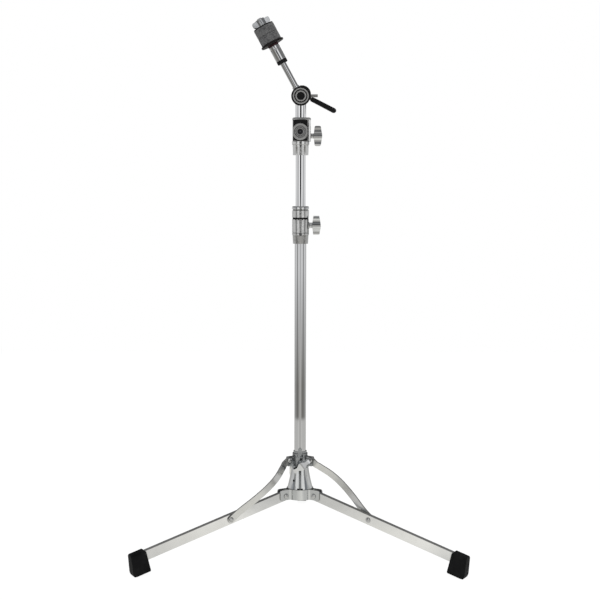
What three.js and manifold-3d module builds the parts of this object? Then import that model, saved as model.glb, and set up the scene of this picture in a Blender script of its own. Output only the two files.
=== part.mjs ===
import * as THREE from "three";
import { mergeVertices } from "three/addons/utils/BufferGeometryUtils.js";
import Module from "manifold-3d";

// Straight cymbal stand on a flush tripod base, in millimetres, with +Z up.
// The origin is on the column's axis, at the flat underside of the hub.
// Leg 1 points to the front left, leg 2 to the front right and leg 3 to the back.
// The front of the stand faces -Y.

// Clearances and mesh fineness
const RUNNING_GAP = 0.3;
const OVERRUN = 2;
const MERGE_DISTANCE = 0.0001;
const TUBE_SIDES = 28;
const TURNED_SIDES = 20;
const SMALL_SIDES = 10;
const CORNER_STEPS = 2;
const ARC_STEPS = 4;

// Column tubes
const BASE_TUBE_RADIUS = 11.1;
const TUBE_WALL = 1.2;
const TELESCOPE_GAP = 0.375;
const MIDDLE_TUBE_RADIUS = BASE_TUBE_RADIUS - TUBE_WALL - TELESCOPE_GAP;
const UPPER_TUBE_RADIUS = MIDDLE_TUBE_RADIUS - TUBE_WALL - TELESCOPE_GAP;
const MIDDLE_TUBE_LENGTH = 520;
const UPPER_TUBE_LENGTH = 400;

// Levels on the column
const HUB_HEIGHT = 98;
const RECEIVER_LEVEL = 488.5;
const MIDDLE_EXPOSED = 97.3;
const TILTER_RISE = 40.5;

// Hub bracket that holds the legs
const BRACKET_HEIGHT = 19.5;
const BRACKET_SHEET = 2;
const BRACKET_RADIUS = 25.4;
const BRACKET_REACH = 46;
const BRACKET_FILLET = 6;
const BRACKET_CORNER = 4;
const PLUG_RADIUS = 13;
const PLUG_FLANGE = 2;
const PLUG_DEPTH = 12;

// Bell between the hub bracket and the sliding collar
const BELL_FOOT_RADIUS = 24.4;
const BELL_TOP_RADIUS = 16;
const BELL_SHEET = 1.6;
const BELL_CURVE_SHARE = 0.42;
const BELL_HOLE_RADIUS = 2.3;
const BELL_HOLE_LEVEL = 36;
const BELL_HOLE_AZIMUTH = -126;
const BELL_SLOT_WIDTH = 11;
const BELL_SLOT_HEIGHT = 2.6;

// Legs
const LEG_AZIMUTHS = [209.3, 329.3, 89.3];
const LEG_PIVOT_RADIUS = 34;
const LEG_PIVOT_LEVEL = 8;
const LEG_SLOPE = 14.15;
const LEG_HEIGHT = 17.5;
const LEG_WIDTH = 9.5;
const LEG_SHEET = 1.5;
const BRACE_JOINT_REACH = 119.55;

// Rubber feet
const FOOT_START = 292.5;
const FOOT_LENGTH = 29;
const FOOT_TOP = 12.1;
const FOOT_SOLE = 29;
const FOOT_CHAMFER = 3.4;
const FOOT_BULGE = 4.6;
const FOOT_BULGE_DROP = 22.5;
const FOOT_HEEL = 2.6;
const FOOT_CORNER = 3;
const FOOT_TOP_HALF_WIDTH = 6.2;
const FOOT_SIDE_HALF_WIDTH = 8;
const FOOT_SOLE_HALF_WIDTH = 10;
const FOOT_SOCKET_DEPTH = 22;

// Rivets of the base
const RIVET_RADIUS = 3;
const RIVET_HEAD_RADIUS = 4.6;
const RIVET_HEAD_HEIGHT = 1.8;
const RIVET_FLAT_RADIUS = 2;

// Sliding collar
const COLLAR_LEVEL = 60;
const COLLAR_HEIGHT = 26.9;
const COLLAR_RADIUS = 15.6;
const COLLAR_RIM_RADIUS = 17.2;
const COLLAR_RIM_HEIGHT = 4;
const COLLAR_NECK_RADIUS = 14.7;
const COLLAR_NECK_HEIGHT = 6;
const COLLAR_LIP_RADIUS = 12.7;
const COLLAR_LIP_HEIGHT = 3.7;
const COLLAR_GROOVE_COUNT = 10;
const COLLAR_GROOVE_WIDTH = 2.4;
const COLLAR_GROOVE_DEPTH = 1;
const COLLAR_CHAMFER = 1;
const COLLAR_TAB_WIDTH = 7.4;
const COLLAR_TAB_RISE = 11.4;
const COLLAR_TAB_THICKNESS = 2.2;
const COLLAR_PIVOT_RADIUS = 24.5;
const COLLAR_PIVOT_LEVEL = 75.3;
const COLLAR_EAR_THICKNESS = 2;
const COLLAR_EAR_FLOOR = 63.6;
const COLLAR_EAR_HEIGHT = 17.8;
const COLLAR_EAR_REACH = 28.8;
const COLLAR_EAR_CORNER = 1.6;
const COLLAR_EAR_ROOT = 12.6;
const COLLAR_BOLT_AZIMUTH = 275;
const COLLAR_BOLT_LEVEL = 68.6;
const COLLAR_BOLT_ROLL = -55;
const COLLAR_BOSS_RADIUS = 6.4;
const COLLAR_BOSS_REACH = 19.2;

// Braces
const BRACE_WIDTH = 12.2;
const BRACE_THICKNESS = 3;
const BRACE_COLLAR_OFFSET = 0.6;
const BRACE_BOW = 18;
const BRACE_STEPS_BETWEEN = 2;
const BRACE_PLACE_SHARES = [
  -0.05, 0.066, 0.082, 0.112, 0.165, 0.255, 0.373, 0.518, 0.682, 0.808, 0.904, 0.96, 1.06,
];
const BRACE_BOW_SHARES = [0, 0, 0, 0.19, 0.43, 0.81, 1, 0.91, 0.57, 0.21, 0.025, 0, 0];

// Wing bolts, all alike
const WING_SPAN = 38.4;
const WING_DEPTH = 16.6;
const WING_TIP_DEPTH = 11.4;
const WING_TIP_SET = 2.2;
const WING_HUB_RADIUS = 7.4;
const WING_PLACE_SHARES = [0, 0.17, 0.34, 0.48, 0.64, 0.82, 0.94, 1];
const WING_THICKNESS_SHARES = [1, 0.93, 0.64, 0.44, 0.44, 0.58, 0.44, 0];
const WING_CORNER = 2.4;
const WING_NECK_RADIUS = 5.1;
const WING_NECK_LENGTH = 5.4;
const WING_THREAD_RADIUS = 3.8;

// Lower height clamp
const CLAMP_RADIUS = 16.1;
const CLAMP_SKIRT_HEIGHT = 16.5;
const CLAMP_SKIRT_FOOT_RADIUS = 14.4;
const CLAMP_RING_HEIGHT = 3.4;
const CLAMP_RING_GROOVE = 0.7;
const RECEIVER_HEIGHT = 46.5;
const RECEIVER_TUBE_DEPTH = 30;
const FLUTE_COUNT = 6;
const FLUTE_RADIUS = 2.3;
const FLUTE_SINK = 0.9;
const NOTCH_COUNT = 14;
const NOTCH_WIDTH = 1.6;
const NOTCH_DEPTH = 1.3;
const BUSH_WALL = 2.9;
const BUSH_FLANGE = 2.8;
const BUSH_FLANGE_SET = 0.9;
const BUSH_LENGTH = 24;
const LOWER_BOLT_DROP = 11.6;
const LOWER_BOLT_ROLL = 20;
const BOLT_BOSS_RADIUS = 6.6;
const BOLT_BOSS_PROUD = 0.6;
const PIN_RADIUS = 2.5;
const PIN_RISE = 18;
const PIN_SET = 0.5;

// Memory lock that sits on the lower clamp
const LOCK_HEIGHT = 21.3;
const LOCK_GROOVE_DROP = 7;
const LOCK_GROOVE = 1.5;
const LOCK_ROUND = 1.6;
const LOCK_SLIT = 2;
const LOCK_LUG_REACH = 23.4;
const LOCK_LUG_THICKNESS = 5.5;
const LOCK_LUG_HEIGHT = 12;
const LOCK_SCREW_RADIUS = 2.9;
const LOCK_SCREW_HEAD = 4.6;
const LOCK_KEY_SIZE = 5;
const LOCK_KEY_LENGTH = 6.5;

// Upper height clamp
const UPPER_SKIRT_RADIUS = 15.5;
const UPPER_SKIRT_FOOT_RADIUS = 14.9;
const UPPER_SKIRT_HEIGHT = 20;
const UPPER_BAND_HEIGHT = 6;
const UPPER_BAND_RADIUS = 16.6;
const UPPER_BLOCK_HEIGHT = 40.6;
const UPPER_BLOCK_LEFT = 15.6;
const UPPER_BLOCK_RIGHT = 19;
const UPPER_BLOCK_HALF_DEPTH = 16.6;
const UPPER_BLOCK_CORNER = 3;
const UPPER_TUBE_DEPTH = 26;
const UPPER_BUSH_WALL = 3.9;
const UPPER_BUSH_LENGTH = 30;
const UPPER_BOLT_RISE = 10.4;
const PANEL_WIDTH = 26.6;
const PANEL_CENTRE = -1;
const PANEL_MARGIN = 0.9;
const PANEL_THICKNESS = 1.4;
const DISC_RADIUS = 15.8;
const DISC_HALF_WIDTH = 13.6;
const DISC_THICKNESS = 2.2;
const DISC_RISE = 17.9;
const DISC_RING_DEPTH = 0.8;
const DISC_RING_SHARES = [0.3, 0.42, 0.62, 0.76];
const CAP_HEIGHT = 3.9;
const CAP_LIP = 0.8;
const CAP_BEVEL = 3;
const CAP_OVERHANG = 0.5;
const MARK_WIDTH = 5;
const MARK_HEIGHT = 6;
const MARK_DEPTH = 0.9;

// Tilter
const FERRULE_RADIUS = 10.45;
const FERRULE_SOCKET_DEPTH = 17;
const DRUM_RADIUS = 17.6;
const DRUM_HALF_DEPTH = 8.5;
const DRUM_SPLIT = 0.2;
const TILTER_BOLT_RADIUS = 4;
const TILTER_BOLT_HEAD_RADIUS = 7;
const TILTER_BOLT_HEAD_HEIGHT = 2.6;
const DIAL_RADIUS = 18.2;
const DIAL_THICKNESS = 4.6;
const DIAL_RING_DEPTH = 1.2;
const DIAL_RING_PROUD = 0.5;
const DIAL_OUTER_RING = [12.6, 15.1];
const DIAL_INNER_RING = [7.7, 10.3];
const DIAL_ROUND = 1.2;

// Tilter lever
const LEVER_HUB_RADIUS = 16.8;
const LEVER_HUB_THICKNESS = 6.4;
const LEVER_NUT_RADIUS = 8;
const LEVER_NUT_HEIGHT = 5;
const LEVER_DROOP = 27.2;
const LEVER_LINE_RISE = 5.7;
const LEVER_ARM_RADIUS = 2.9;
const LEVER_ARM_END = 40;
const LEVER_GRIP_START = 19.4;
const LEVER_GRIP_END = 73;
const LEVER_GRIP_RADIUS = 5.1;
const LEVER_GRIP_TAPER = 0.3;
const LEVER_LUG_RADIUS = 2.9;
const LEVER_LUG_RISE = 2.2;
const LEVER_LUG_END = 32.4;

// Tilting arm, along its own axis from the tilter's centre
const ARM_LEAN = 28.5;
const ARM_BOSS_RADIUS = 6.9;
const ARM_BOSS_END = 21.2;
const ARM_ROD_RADIUS = 5.6;
const ARM_ROD_START = 18.8;
const SLEEVE_START = 71;
const SLEEVE_END = 108;
const SLEEVE_RADIUS = 10.2;
const SLEEVE_BAND_LENGTH = 6.6;
const SLEEVE_ROUND = 0.8;
const SLEEVE_DIMPLE_COUNT = 6;
const SLEEVE_DIMPLE_RADIUS = 2.3;
const SLEEVE_DIMPLE_DROP = 7.4;
const SLEEVE_DIMPLE_LENGTH = 5;
const SLEEVE_DIMPLE_SINK = 1.9;
const SEAT_HUB_RADIUS = 10.6;
const SEAT_HUB_LENGTH = 2.8;
const SEAT_WASHER_RADIUS = 23;
const SEAT_WASHER_THICKNESS = 3.8;
const SEAT_LIP = 0.8;
const THREAD_RADIUS = 4;
const CYMBAL_SLEEVE_WALL = 1.6;
const FELT_RADIUS = 20.5;
const FELT_THICKNESS = 16.4;
const FELT_ROUND = 1.4;
const TOP_WASHER_RADIUS = 19.8;
const TOP_WASHER_THICKNESS = 1.6;

// Wing nut at the top
const NUT_HUB_RADIUS = 8.8;
const NUT_HUB_HEIGHT = 14;
const NUT_HEIGHT = 12.6;
const NUT_SPAN = 35;
const NUT_TIP_HEIGHT = 10.4;
const NUT_WAIST = 12;
const NUT_THICKNESS = 8;
const NUT_CORNER = 3;
const NUT_TURN = 14;
const NUT_THREAD_PROUD = 2;

// Finishes
const chrome = new THREE.MeshStandardMaterial({ color: 0xdfe2e4, roughness: 0.12, metalness: 1 });
const castMetal = new THREE.MeshStandardMaterial({ color: 0xb9bcb8, roughness: 0.32, metalness: 1 });
const pressedSteel = new THREE.MeshStandardMaterial({ color: 0xd0d3d1, roughness: 0.22, metalness: 1 });
const blackPlastic = new THREE.MeshStandardMaterial({ color: 0x0d0d0f, roughness: 0.38, metalness: 0 });
const blackRubber = new THREE.MeshStandardMaterial({ color: 0x151517, roughness: 0.7, metalness: 0 });
const greyFelt = new THREE.MeshStandardMaterial({ color: 0x74767a, roughness: 1, metalness: 0 });
const whiteNylon = new THREE.MeshStandardMaterial({ color: 0xe6e4dc, roughness: 0.5, metalness: 0 });
const darkSteel = new THREE.MeshStandardMaterial({ color: 0x3a3b3e, roughness: 0.4, metalness: 1 });

const wasm = await Module();
wasm.setup();

const radians = THREE.MathUtils.degToRad;

// The manifold solid of a closed geometry, with its faces turned outwards.
function solidOf(geometry) {
  const bare = geometry.index ? geometry.toNonIndexed() : geometry.clone();
  bare.deleteAttribute("normal");
  bare.deleteAttribute("uv");
  const merged = mergeVertices(bare, MERGE_DISTANCE);
  const corners = merged.index.array;
  const kept = [];
  for (let i = 0; i < corners.length; i += 3) {
    const [a, b, c] = corners.subarray(i, i + 3);
    if (a !== b && b !== c && c !== a) kept.push(a, b, c);
  }
  const vertProperties = merged.attributes.position.array;
  const made = new wasm.Manifold(
    new wasm.Mesh({ numProp: 3, vertProperties, triVerts: new Uint32Array(kept) }),
  );
  if (made.volume() >= 0) return made;
  return new wasm.Manifold(
    new wasm.Mesh({ numProp: 3, vertProperties, triVerts: new Uint32Array(kept.reverse()) }),
  );
}

function geometryOf(solid) {
  const mesh = solid.getMesh();
  const positions = new Float32Array(mesh.numVert * 3);
  for (let i = 0; i < mesh.numVert; i += 1) {
    const start = i * mesh.numProp;
    positions.set(mesh.vertProperties.subarray(start, start + 3), i * 3);
  }
  const geometry = new THREE.BufferGeometry();
  geometry.setAttribute("position", new THREE.BufferAttribute(positions, 3));
  geometry.setIndex(new THREE.BufferAttribute(mesh.triVerts, 1));
  geometry.computeVertexNormals();
  return geometry;
}

function join(...geometries) {
  return geometryOf(geometries.map(solidOf).reduce((whole, next) => whole.add(next)));
}

function cut(body, ...tools) {
  return geometryOf(tools.map(solidOf).reduce((whole, next) => whole.subtract(next), solidOf(body)));
}

function common(first, second) {
  return geometryOf(solidOf(first).intersect(solidOf(second)));
}

// A body of revolution about +Z, from [radius, height] pairs.
function turned(profile, sides = TURNED_SIDES) {
  const points = profile.map(([radius, height]) => new THREE.Vector2(radius, height));
  const [first] = points;
  const last = points[points.length - 1];
  if (first.x > 0 || last.x > 0) points.push(first.clone());
  return new THREE.LatheGeometry(points, sides).rotateX(Math.PI / 2);
}

function rod(radius, from, to, sides = TURNED_SIDES) {
  return turned([[0, from], [radius, from], [radius, to], [0, to]], sides);
}

function tube(outer, inner, from, to, sides = TUBE_SIDES) {
  return turned([[inner, from], [outer, from], [outer, to], [inner, to]], sides);
}

// Turns a piece made along +Z so that it lies along +X or +Y.
function alongX(geometry) {
  return geometry.rotateY(Math.PI / 2);
}

function alongY(geometry) {
  return geometry.rotateX(-Math.PI / 2);
}

function block(fromX, toX, fromY, toY, fromZ, toZ) {
  const box = new THREE.BoxGeometry(toX - fromX, toY - fromY, toZ - fromZ);
  return box.translate((fromX + toX) / 2, (fromY + toY) / 2, (fromZ + toZ) / 2);
}

// A closed outline through corner points, each corner rounded by its own cut-back.
function roundedOutline(points, cutBacks) {
  const shape = new THREE.Shape();
  const corners = points.map(([x, y]) => new THREE.Vector2(x, y));
  corners.forEach((corner, i) => {
    const before = corners[(i + corners.length - 1) % corners.length];
    const after = corners[(i + 1) % corners.length];
    const back = Array.isArray(cutBacks) ? cutBacks[i] : cutBacks;
    const arrive = corner.clone().add(before.clone().sub(corner).setLength(back));
    const leave = corner.clone().add(after.clone().sub(corner).setLength(back));
    if (i === 0) shape.moveTo(arrive.x, arrive.y);
    else shape.lineTo(arrive.x, arrive.y);
    if (back > 0) shape.quadraticCurveTo(corner.x, corner.y, leave.x, leave.y);
  });
  shape.closePath();
  return shape;
}

function rectangle(fromX, toX, fromY, toY, corner) {
  return roundedOutline([[fromX, fromY], [toX, fromY], [toX, toY], [fromX, toY]], corner);
}

function prism(shape, from, to, curveSegments = CORNER_STEPS) {
  const options = { depth: to - from, bevelEnabled: false, curveSegments };
  return new THREE.ExtrudeGeometry(shape, options).translate(0, 0, from);
}

// An outline drawn in X and Z, with its thickness along Y.
function upright(shape, fromY, toY, curveSegments = CORNER_STEPS) {
  return prism(shape, -toY, -fromY, curveSegments).rotateX(Math.PI / 2);
}

function stadium(from, to, radius) {
  const shape = new THREE.Shape();
  shape.absarc(to, 0, radius, -Math.PI / 2, Math.PI / 2, false);
  shape.absarc(from, 0, radius, Math.PI / 2, (Math.PI * 3) / 2, false);
  shape.closePath();
  return shape;
}

function piece(name, geometry, material) {
  const mesh = new THREE.Mesh(geometry, material);
  mesh.name = name;
  return mesh;
}

function placed(object, x, y, z) {
  object.position.set(x, y, z);
  return object;
}

// A rivet along +Y. A headed end has a dome beyond the stated face.
function rivet(from, to, headAtStart, headAtEnd) {
  const dome = (face, out) => [
    [RIVET_HEAD_RADIUS, face],
    [RIVET_HEAD_RADIUS, face + (out * RIVET_HEAD_HEIGHT) / 3],
    [RIVET_FLAT_RADIUS, face + out * RIVET_HEAD_HEIGHT],
    [0, face + out * RIVET_HEAD_HEIGHT],
  ];
  const plain = (face) => [[0, face]];
  const start = headAtStart ? dome(from, -1).reverse() : plain(from);
  const end = headAtEnd ? dome(to, 1) : plain(to);
  const shank = [[RIVET_RADIUS, from], [RIVET_RADIUS, to]];
  return alongY(turned([...start, ...shank, ...end], SMALL_SIDES));
}

function rivetHole(x, z, from, to) {
  const hole = alongY(rod(RIVET_RADIUS + RUNNING_GAP, from, to, SMALL_SIDES));
  return hole.translate(x, 0, z);
}

// A wing bolt along +X: its neck starts at 0 and its thread reaches back from there.
function wingBolt(threadLength) {
  const stem = alongX(
    turned(
      [
        [0, -threadLength],
        [WING_THREAD_RADIUS, -threadLength],
        [WING_THREAD_RADIUS, RUNNING_GAP],
        [WING_NECK_RADIUS, RUNNING_GAP],
        [WING_NECK_RADIUS, WING_NECK_LENGTH + OVERRUN],
        [0, WING_NECK_LENGTH + OVERRUN],
      ],
      SMALL_SIDES,
    ),
  );
  const half = WING_SPAN / 2;
  const start = WING_NECK_LENGTH;
  const tipStart = start + WING_TIP_SET;
  const side = roundedOutline(
    [
      [start, 0],
      [tipStart, -half],
      [tipStart + WING_TIP_DEPTH, -half],
      [start + WING_DEPTH, 0],
      [tipStart + WING_TIP_DEPTH, half],
      [tipStart, half],
    ],
    WING_CORNER,
  );
  const rim = WING_PLACE_SHARES.map((place, i) => [place * half, WING_THICKNESS_SHARES[i] * WING_HUB_RADIUS]);
  const quarter = (across, up) => rim.map(([x, y]) => new THREE.Vector2(x * across, y * up));
  const endOn = new THREE.Shape([
    ...quarter(1, 1),
    ...quarter(1, -1).reverse().slice(1, -1),
    ...quarter(-1, -1),
    ...quarter(-1, 1).reverse().slice(1, -1),
  ]);
  const grip = common(
    upright(side, -WING_HUB_RADIUS * 2, WING_HUB_RADIUS * 2),
    prism(endOn, 0, WING_NECK_LENGTH + WING_DEPTH * 2)
      .rotateY(Math.PI / 2)
      .rotateX(Math.PI),
  );
  return join(stem, grip);
}

// Base tube, plug, bell and bracket
function bracketOutline(radius, earHalf, fillet, reach) {
  const shape = new THREE.Shape();
  const centreX = Math.sqrt((radius + fillet) ** 2 - (earHalf + fillet) ** 2);
  const centreY = earHalf + fillet;
  const meet = Math.atan2(centreY, centreX);
  LEG_AZIMUTHS.slice()
    .sort((a, b) => a - b)
    .forEach((azimuth) => {
      const turn = radians(azimuth);
      const spot = (x, y) => new THREE.Vector2(x, y).rotateAround(new THREE.Vector2(), turn);
      const before = spot(centreX, -centreY);
      const after = spot(centreX, centreY);
      shape.absarc(before.x, before.y, fillet, turn - meet + Math.PI, turn + Math.PI / 2, true);
      const near = spot(reach, -earHalf);
      const far = spot(reach, earHalf);
      shape.lineTo(near.x, near.y);
      shape.lineTo(far.x, far.y);
      shape.absarc(after.x, after.y, fillet, turn - Math.PI / 2, turn + meet - Math.PI, true);
      shape.absarc(0, 0, radius, turn + meet, turn + radians(120) - meet, false);
    });
  shape.closePath();
  return shape;
}

function legBracket() {
  const pocketHalf = LEG_WIDTH / 2 + RUNNING_GAP;
  const earHalf = pocketHalf + BRACKET_SHEET;
  const webFloor = BRACKET_HEIGHT - BRACKET_SHEET;
  const outer = prism(
    bracketOutline(BRACKET_RADIUS, earHalf, BRACKET_FILLET, BRACKET_REACH),
    0,
    BRACKET_HEIGHT,
    ARC_STEPS,
  );
  const hollow = prism(
    bracketOutline(
      BRACKET_RADIUS - BRACKET_SHEET,
      pocketHalf,
      BRACKET_FILLET + BRACKET_SHEET,
      BRACKET_REACH + OVERRUN,
    ),
    -OVERRUN,
    webFloor,
    ARC_STEPS,
  );
  const tubeHole = rod(BASE_TUBE_RADIUS + RUNNING_GAP, 0, BRACKET_HEIGHT + OVERRUN, TUBE_SIDES);
  const perLeg = LEG_AZIMUTHS.flatMap((azimuth) => {
    const pocket = block(
      BRACKET_RADIUS,
      BRACKET_REACH + OVERRUN,
      -pocketHalf,
      pocketHalf,
      0,
      BRACKET_HEIGHT + OVERRUN,
    );
    const hole = rivetHole(LEG_PIVOT_RADIUS, LEG_PIVOT_LEVEL, -earHalf - OVERRUN, earHalf + OVERRUN);
    const room = upright(
      rectangle(
        -BRACKET_REACH,
        BRACKET_REACH,
        0,
        BRACKET_HEIGHT,
        BRACKET_CORNER,
      ),
      -earHalf - OVERRUN,
      earHalf + OVERRUN,
    );
    const corners = cut(
      block(
        BRACKET_REACH - BRACKET_CORNER,
        BRACKET_REACH + OVERRUN,
        -earHalf - OVERRUN,
        earHalf + OVERRUN,
        -OVERRUN,
        BRACKET_HEIGHT + OVERRUN,
      ),
      room,
    );
    return [pocket, hole, corners].map((tool) => tool.rotateZ(radians(azimuth)));
  });
  return cut(outer, hollow, tubeHole, ...perLeg);
}

function hubPlug() {
  const stem = BASE_TUBE_RADIUS - TUBE_WALL - RUNNING_GAP;
  return turned([
    [0, 0],
    [PLUG_RADIUS, 0],
    [PLUG_RADIUS, PLUG_FLANGE],
    [stem, PLUG_FLANGE],
    [stem, PLUG_FLANGE + PLUG_DEPTH],
    [0, PLUG_FLANGE + PLUG_DEPTH],
  ]);
}

function hubBell() {
  const foot = BRACKET_HEIGHT + RUNNING_GAP;
  const top = COLLAR_LEVEL - RUNNING_GAP;
  const flare = (inset, steps) => {
    const start = new THREE.Vector2(BELL_FOOT_RADIUS - inset, foot);
    const end = new THREE.Vector2(BELL_TOP_RADIUS - inset, top);
    const bend = new THREE.Vector2(
      THREE.MathUtils.lerp(start.x, end.x, 1 - BELL_CURVE_SHARE),
      THREE.MathUtils.lerp(start.y, end.y, BELL_CURVE_SHARE),
    );
    return new THREE.QuadraticBezierCurve(start, bend, end).getPoints(steps);
  };
  const outside = flare(0, ARC_STEPS + 1).map((point) => [point.x, point.y]);
  const inside = flare(BELL_SHEET, CORNER_STEPS + 1)
    .map((point) => [point.x, Math.min(point.y, top - BELL_SHEET)])
    .reverse();
  const bore = BASE_TUBE_RADIUS + RUNNING_GAP;
  const shell = turned([[bore, top - BELL_SHEET], ...inside, ...outside, [bore, top]], TUBE_SIDES);
  const hole = alongX(rod(BELL_HOLE_RADIUS, BASE_TUBE_RADIUS, BELL_FOOT_RADIUS * 2, SMALL_SIDES))
    .rotateZ(radians(BELL_HOLE_AZIMUTH))
    .translate(0, 0, BELL_HOLE_LEVEL);
  const slot = block(
    -BELL_SLOT_WIDTH / 2,
    BELL_SLOT_WIDTH / 2,
    -BELL_FOOT_RADIUS * 2,
    -BASE_TUBE_RADIUS,
    foot - OVERRUN,
    foot + BELL_SLOT_HEIGHT,
  );
  return cut(shell, hole, slot);
}

function baseTube() {
  const inner = BASE_TUBE_RADIUS - TUBE_WALL;
  const bottom = PLUG_FLANGE + RUNNING_GAP;
  return tube(BASE_TUBE_RADIUS, inner, bottom, RECEIVER_LEVEL + RECEIVER_TUBE_DEPTH);
}

// Legs and rubber feet, drawn from the pivot along +X with the web uppermost
function legChannel() {
  const half = LEG_HEIGHT / 2;
  const end = FOOT_START + FOOT_SOCKET_DEPTH - RUNNING_GAP;
  const outline = new THREE.Shape();
  outline.moveTo(end, -half);
  outline.lineTo(end, half);
  outline.lineTo(0, half);
  outline.absarc(0, 0, half, Math.PI / 2, (Math.PI * 3) / 2, false);
  outline.closePath();
  const walls = upright(outline, -LEG_WIDTH / 2, LEG_WIDTH / 2, ARC_STEPS);
  const channel = block(
    -LEG_HEIGHT,
    end + OVERRUN,
    -LEG_WIDTH / 2 + LEG_SHEET,
    LEG_WIDTH / 2 - LEG_SHEET,
    -LEG_HEIGHT,
    half - LEG_SHEET,
  );
  const holes = [0, BRACE_JOINT_REACH].map((x) => rivetHole(x, 0, -LEG_WIDTH, LEG_WIDTH));
  return cut(walls, channel, ...holes);
}

function rubberFoot() {
  const end = FOOT_START + FOOT_LENGTH;
  const side = roundedOutline(
    [
      [FOOT_START, -FOOT_SOLE],
      [end + FOOT_HEEL, -FOOT_SOLE],
      [end + FOOT_BULGE, -FOOT_BULGE_DROP],
      [end, FOOT_TOP],
      [FOOT_START + FOOT_CHAMFER, FOOT_TOP],
      [FOOT_START, FOOT_TOP - FOOT_CHAMFER],
    ],
    [FOOT_CORNER, FOOT_CORNER / 2, FOOT_CORNER, FOOT_CORNER, FOOT_CORNER / 2, FOOT_CORNER / 2],
  );
  const section = roundedOutline(
    [
      [-FOOT_SOLE_HALF_WIDTH, -FOOT_SOLE],
      [FOOT_SOLE_HALF_WIDTH, -FOOT_SOLE],
      [FOOT_SIDE_HALF_WIDTH, FOOT_TOP - FOOT_CORNER],
      [FOOT_TOP_HALF_WIDTH, FOOT_TOP],
      [-FOOT_TOP_HALF_WIDTH, FOOT_TOP],
      [-FOOT_SIDE_HALF_WIDTH, FOOT_TOP - FOOT_CORNER],
    ],
    FOOT_CORNER / 2,
  );
  const long = prism(section, 0, end * 2).rotateX(Math.PI / 2).rotateZ(Math.PI / 2);
  const body = common(upright(side, -FOOT_SOLE_HALF_WIDTH * 2, FOOT_SOLE_HALF_WIDTH * 2), long);
  const socket = block(
    FOOT_START - OVERRUN,
    FOOT_START + FOOT_SOCKET_DEPTH,
    -LEG_WIDTH / 2 - RUNNING_GAP,
    LEG_WIDTH / 2 + RUNNING_GAP,
    -LEG_HEIGHT / 2 - RUNNING_GAP,
    LEG_HEIGHT / 2 + RUNNING_GAP,
  );
  const floor = block(0, end * 2, -LEG_WIDTH * 2, LEG_WIDTH * 2, -HUB_HEIGHT * 2, -HUB_HEIGHT)
    .translate(0, 0, -LEG_PIVOT_LEVEL)
    .rotateY(radians(-LEG_SLOPE));
  return cut(body, socket, floor);
}

// Brace strap from the collar's pivot along +X, bowed sideways towards +Y
function braceLine() {
  const slope = radians(LEG_SLOPE);
  const jointRadius = LEG_PIVOT_RADIUS + BRACE_JOINT_REACH * Math.cos(slope);
  const jointLevel = LEG_PIVOT_LEVEL - BRACE_JOINT_REACH * Math.sin(slope);
  const run = jointRadius - COLLAR_PIVOT_RADIUS;
  const drop = COLLAR_PIVOT_LEVEL - jointLevel;
  return { length: Math.hypot(run, drop), angle: Math.atan2(drop, run) };
}

function braceLegOffset() {
  return LEG_WIDTH / 2 + RUNNING_GAP + BRACE_THICKNESS / 2;
}

function braceStrap() {
  const { length } = braceLine();
  const legOffset = braceLegOffset();
  const middle = BRACE_PLACE_SHARES.map((share, i) => {
    const along = THREE.MathUtils.smoothstep(share, BRACE_PLACE_SHARES[2], 1);
    const base = THREE.MathUtils.lerp(BRACE_COLLAR_OFFSET, legOffset, along);
    return new THREE.Vector3(share * length, base + BRACE_BOW * BRACE_BOW_SHARES[i], 0);
  });
  const line = new THREE.CatmullRomCurve3(middle);
  const sides = [[], []];
  const steps = (BRACE_PLACE_SHARES.length - 1) * BRACE_STEPS_BETWEEN;
  for (let i = 0; i <= steps; i += 1) {
    const point = line.getPoint(i / steps);
    const tangent = line.getTangent(i / steps);
    const out = new THREE.Vector2(-tangent.y, tangent.x).setLength(BRACE_THICKNESS / 2);
    sides[0].push(new THREE.Vector2(point.x - out.x, point.y - out.y));
    sides[1].unshift(new THREE.Vector2(point.x + out.x, point.y + out.y));
  }
  const strip = prism(new THREE.Shape(sides.flat()), -BRACE_WIDTH, BRACE_WIDTH);
  const face = upright(stadium(0, length, BRACE_WIDTH / 2), -BRACE_BOW, BRACE_BOW * 3, ARC_STEPS);
  const holes = [0, length].map((x) => rivetHole(x, 0, -BRACE_WIDTH, BRACE_WIDTH));
  return cut(common(strip, face), ...holes);
}

// Sliding collar
function collarEarFaces() {
  const slot = BRACE_THICKNESS / 2 + RUNNING_GAP;
  const inner = BRACE_COLLAR_OFFSET - slot;
  const outer = BRACE_COLLAR_OFFSET + slot;
  return { inner, outer, from: inner - COLLAR_EAR_THICKNESS, to: outer + COLLAR_EAR_THICKNESS };
}

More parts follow.
